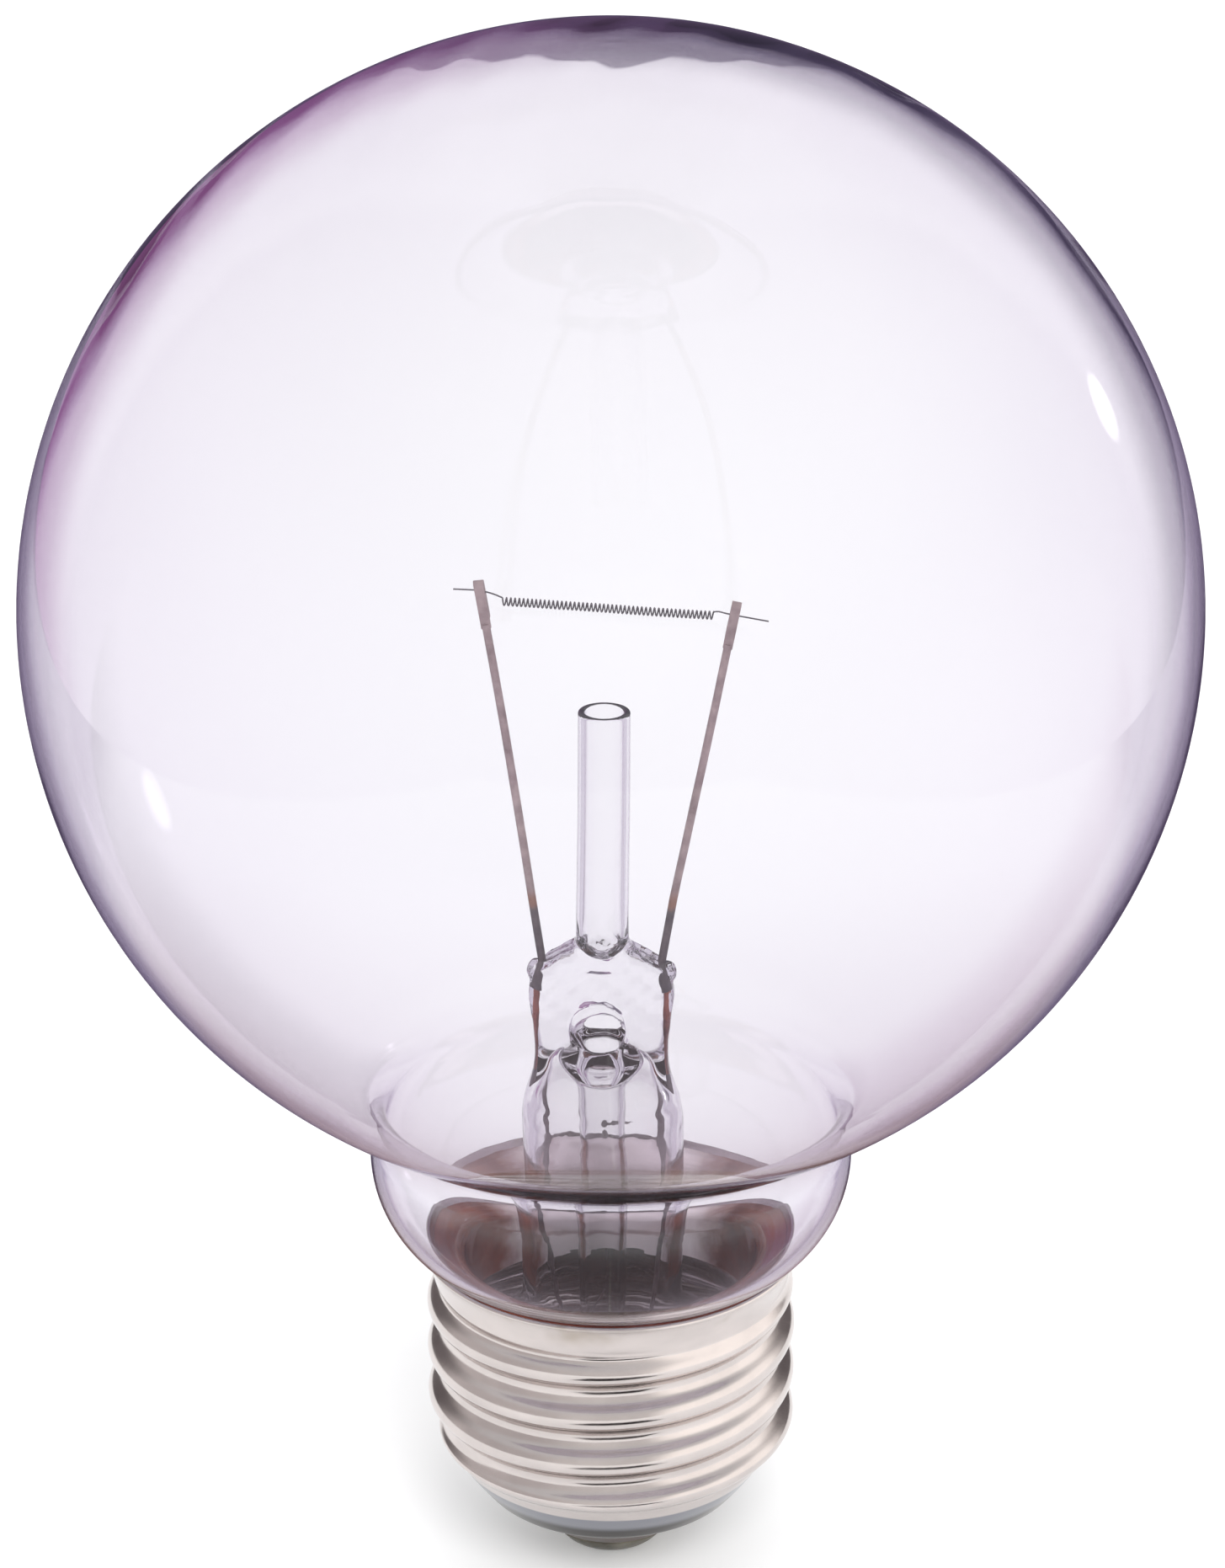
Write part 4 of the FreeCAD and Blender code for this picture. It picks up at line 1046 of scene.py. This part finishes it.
def stand_in_metal(tree, x, y):
    """The dark stand that the cap mirrors from the floor in front of it."""
    aside = maths(tree, "ABSOLUTE", maths(tree, "SUBTRACT", x, STAND_X))
    across = span(tree, aside, *STAND_HALF_WIDTHS, 1.0, 0.0)
    return product(tree, across, span(tree, y, *STAND_BACK, 1.0, 0.0), span(tree, y, *STAND_FRONT))


def studio_floor():
    """White floor, whose colours for bent, mirrored and metal looks are those of a larger studio."""
    material, tree, shader = new_material("floor")
    shader.inputs["Base Color"].default_value = (*FLOOR_WHITE, 1)
    shader.inputs["Roughness"].default_value = 1.0
    shader.inputs["Specular IOR Level"].default_value = 0.0
    shader.inputs["Emission Color"].default_value = (1, 1, 1, 1)
    shader.inputs["Emission Strength"].default_value = FLOOR_GLOW
    x, y, z = split_axes(tree, object_coordinates(tree))
    path = add(tree, "ShaderNodeLightPath")
    glossy = path.outputs["Is Glossy Ray"]
    singular = path.outputs["Is Singular Ray"]
    through = path.outputs["Is Transmission Ray"]
    sharp = maths(tree, "MAXIMUM", singular, through)
    rough = product(tree, glossy, maths(tree, "SUBTRACT", 1.0, sharp))
    mirrored = product(tree, glossy, singular, maths(tree, "SUBTRACT", 1.0, through))
    share, bent = floor_through_glass(tree, x, y)
    factor = maths(tree, "MAXIMUM", product(tree, rough, stand_in_metal(tree, x, y)), mirrored)
    factor = maths(tree, "MAXIMUM", factor, product(tree, through, share))
    colour = mix(tree, mirrored, FRONT_STAND, floor_mirrored_in_glass(tree, x, y))
    other = add(tree, "ShaderNodeEmission")
    tree.links.new(mix(tree, through, colour, bent), other.inputs["Color"])
    show_either(tree, factor, shader, other)
    corners = [(-FLOOR_HALF_WIDTH, FLOOR_NEAR, FLOOR_Z), (FLOOR_HALF_WIDTH, FLOOR_NEAR, FLOOR_Z),
               (FLOOR_HALF_WIDTH, FLOOR_FAR, FLOOR_Z), (-FLOOR_HALF_WIDTH, FLOOR_FAR, FLOOR_Z)]
    mesh = bpy.data.meshes.new("floor")
    mesh.from_pydata(corners, [], [(0, 1, 2, 3)])
    mesh.materials.append(material)
    floor = bpy.data.objects.new("floor", mesh)
    bpy.context.scene.collection.objects.link(floor)


# Soft light, which is seen only by its shade

KEY_PLACE = (0.12, -0.60, 0.60)
KEY_AIM = (0, 0, 0.04)
KEY_SIZE = 0.35
KEY_POWER = 3.0


def point_at(thing, place, aim):
    thing.location = place
    thing.rotation_euler = (Vector(aim) - Vector(place)).to_track_quat("-Z", "Y").to_euler()
    bpy.context.scene.collection.objects.link(thing)


def key_light():
    data = bpy.data.lights.new("key", "AREA")
    data.shape = "DISK"
    data.size = KEY_SIZE
    data.energy = KEY_POWER
    light = bpy.data.objects.new("key", data)
    light.visible_glossy = False
    light.visible_transmission = False
    point_at(light, KEY_PLACE, KEY_AIM)


studio_world()
studio_floor()
key_light()


# Camera, whose lens is the photo's: its focal length and height in pixels

CAMERA_PLACE = (0.00011, -0.32759, 0.20886)
CAMERA_AIM = (0.00011, 0, 0.05957)
SENSOR_HEIGHT = 36.0
FOCAL_PIXELS = 6275
PHOTO_HEIGHT_PIXELS = 1862


def set_camera():
    data = bpy.data.cameras.new("camera")
    data.sensor_fit = "VERTICAL"
    data.sensor_height = SENSOR_HEIGHT
    data.lens = SENSOR_HEIGHT * FOCAL_PIXELS / PHOTO_HEIGHT_PIXELS
    data.clip_start = 0.01
    camera = bpy.data.objects.new("camera", data)
    point_at(camera, CAMERA_PLACE, CAMERA_AIM)
    bpy.context.scene.camera = camera


set_camera()
bpy.context.scene.view_settings.view_transform = "Standard"
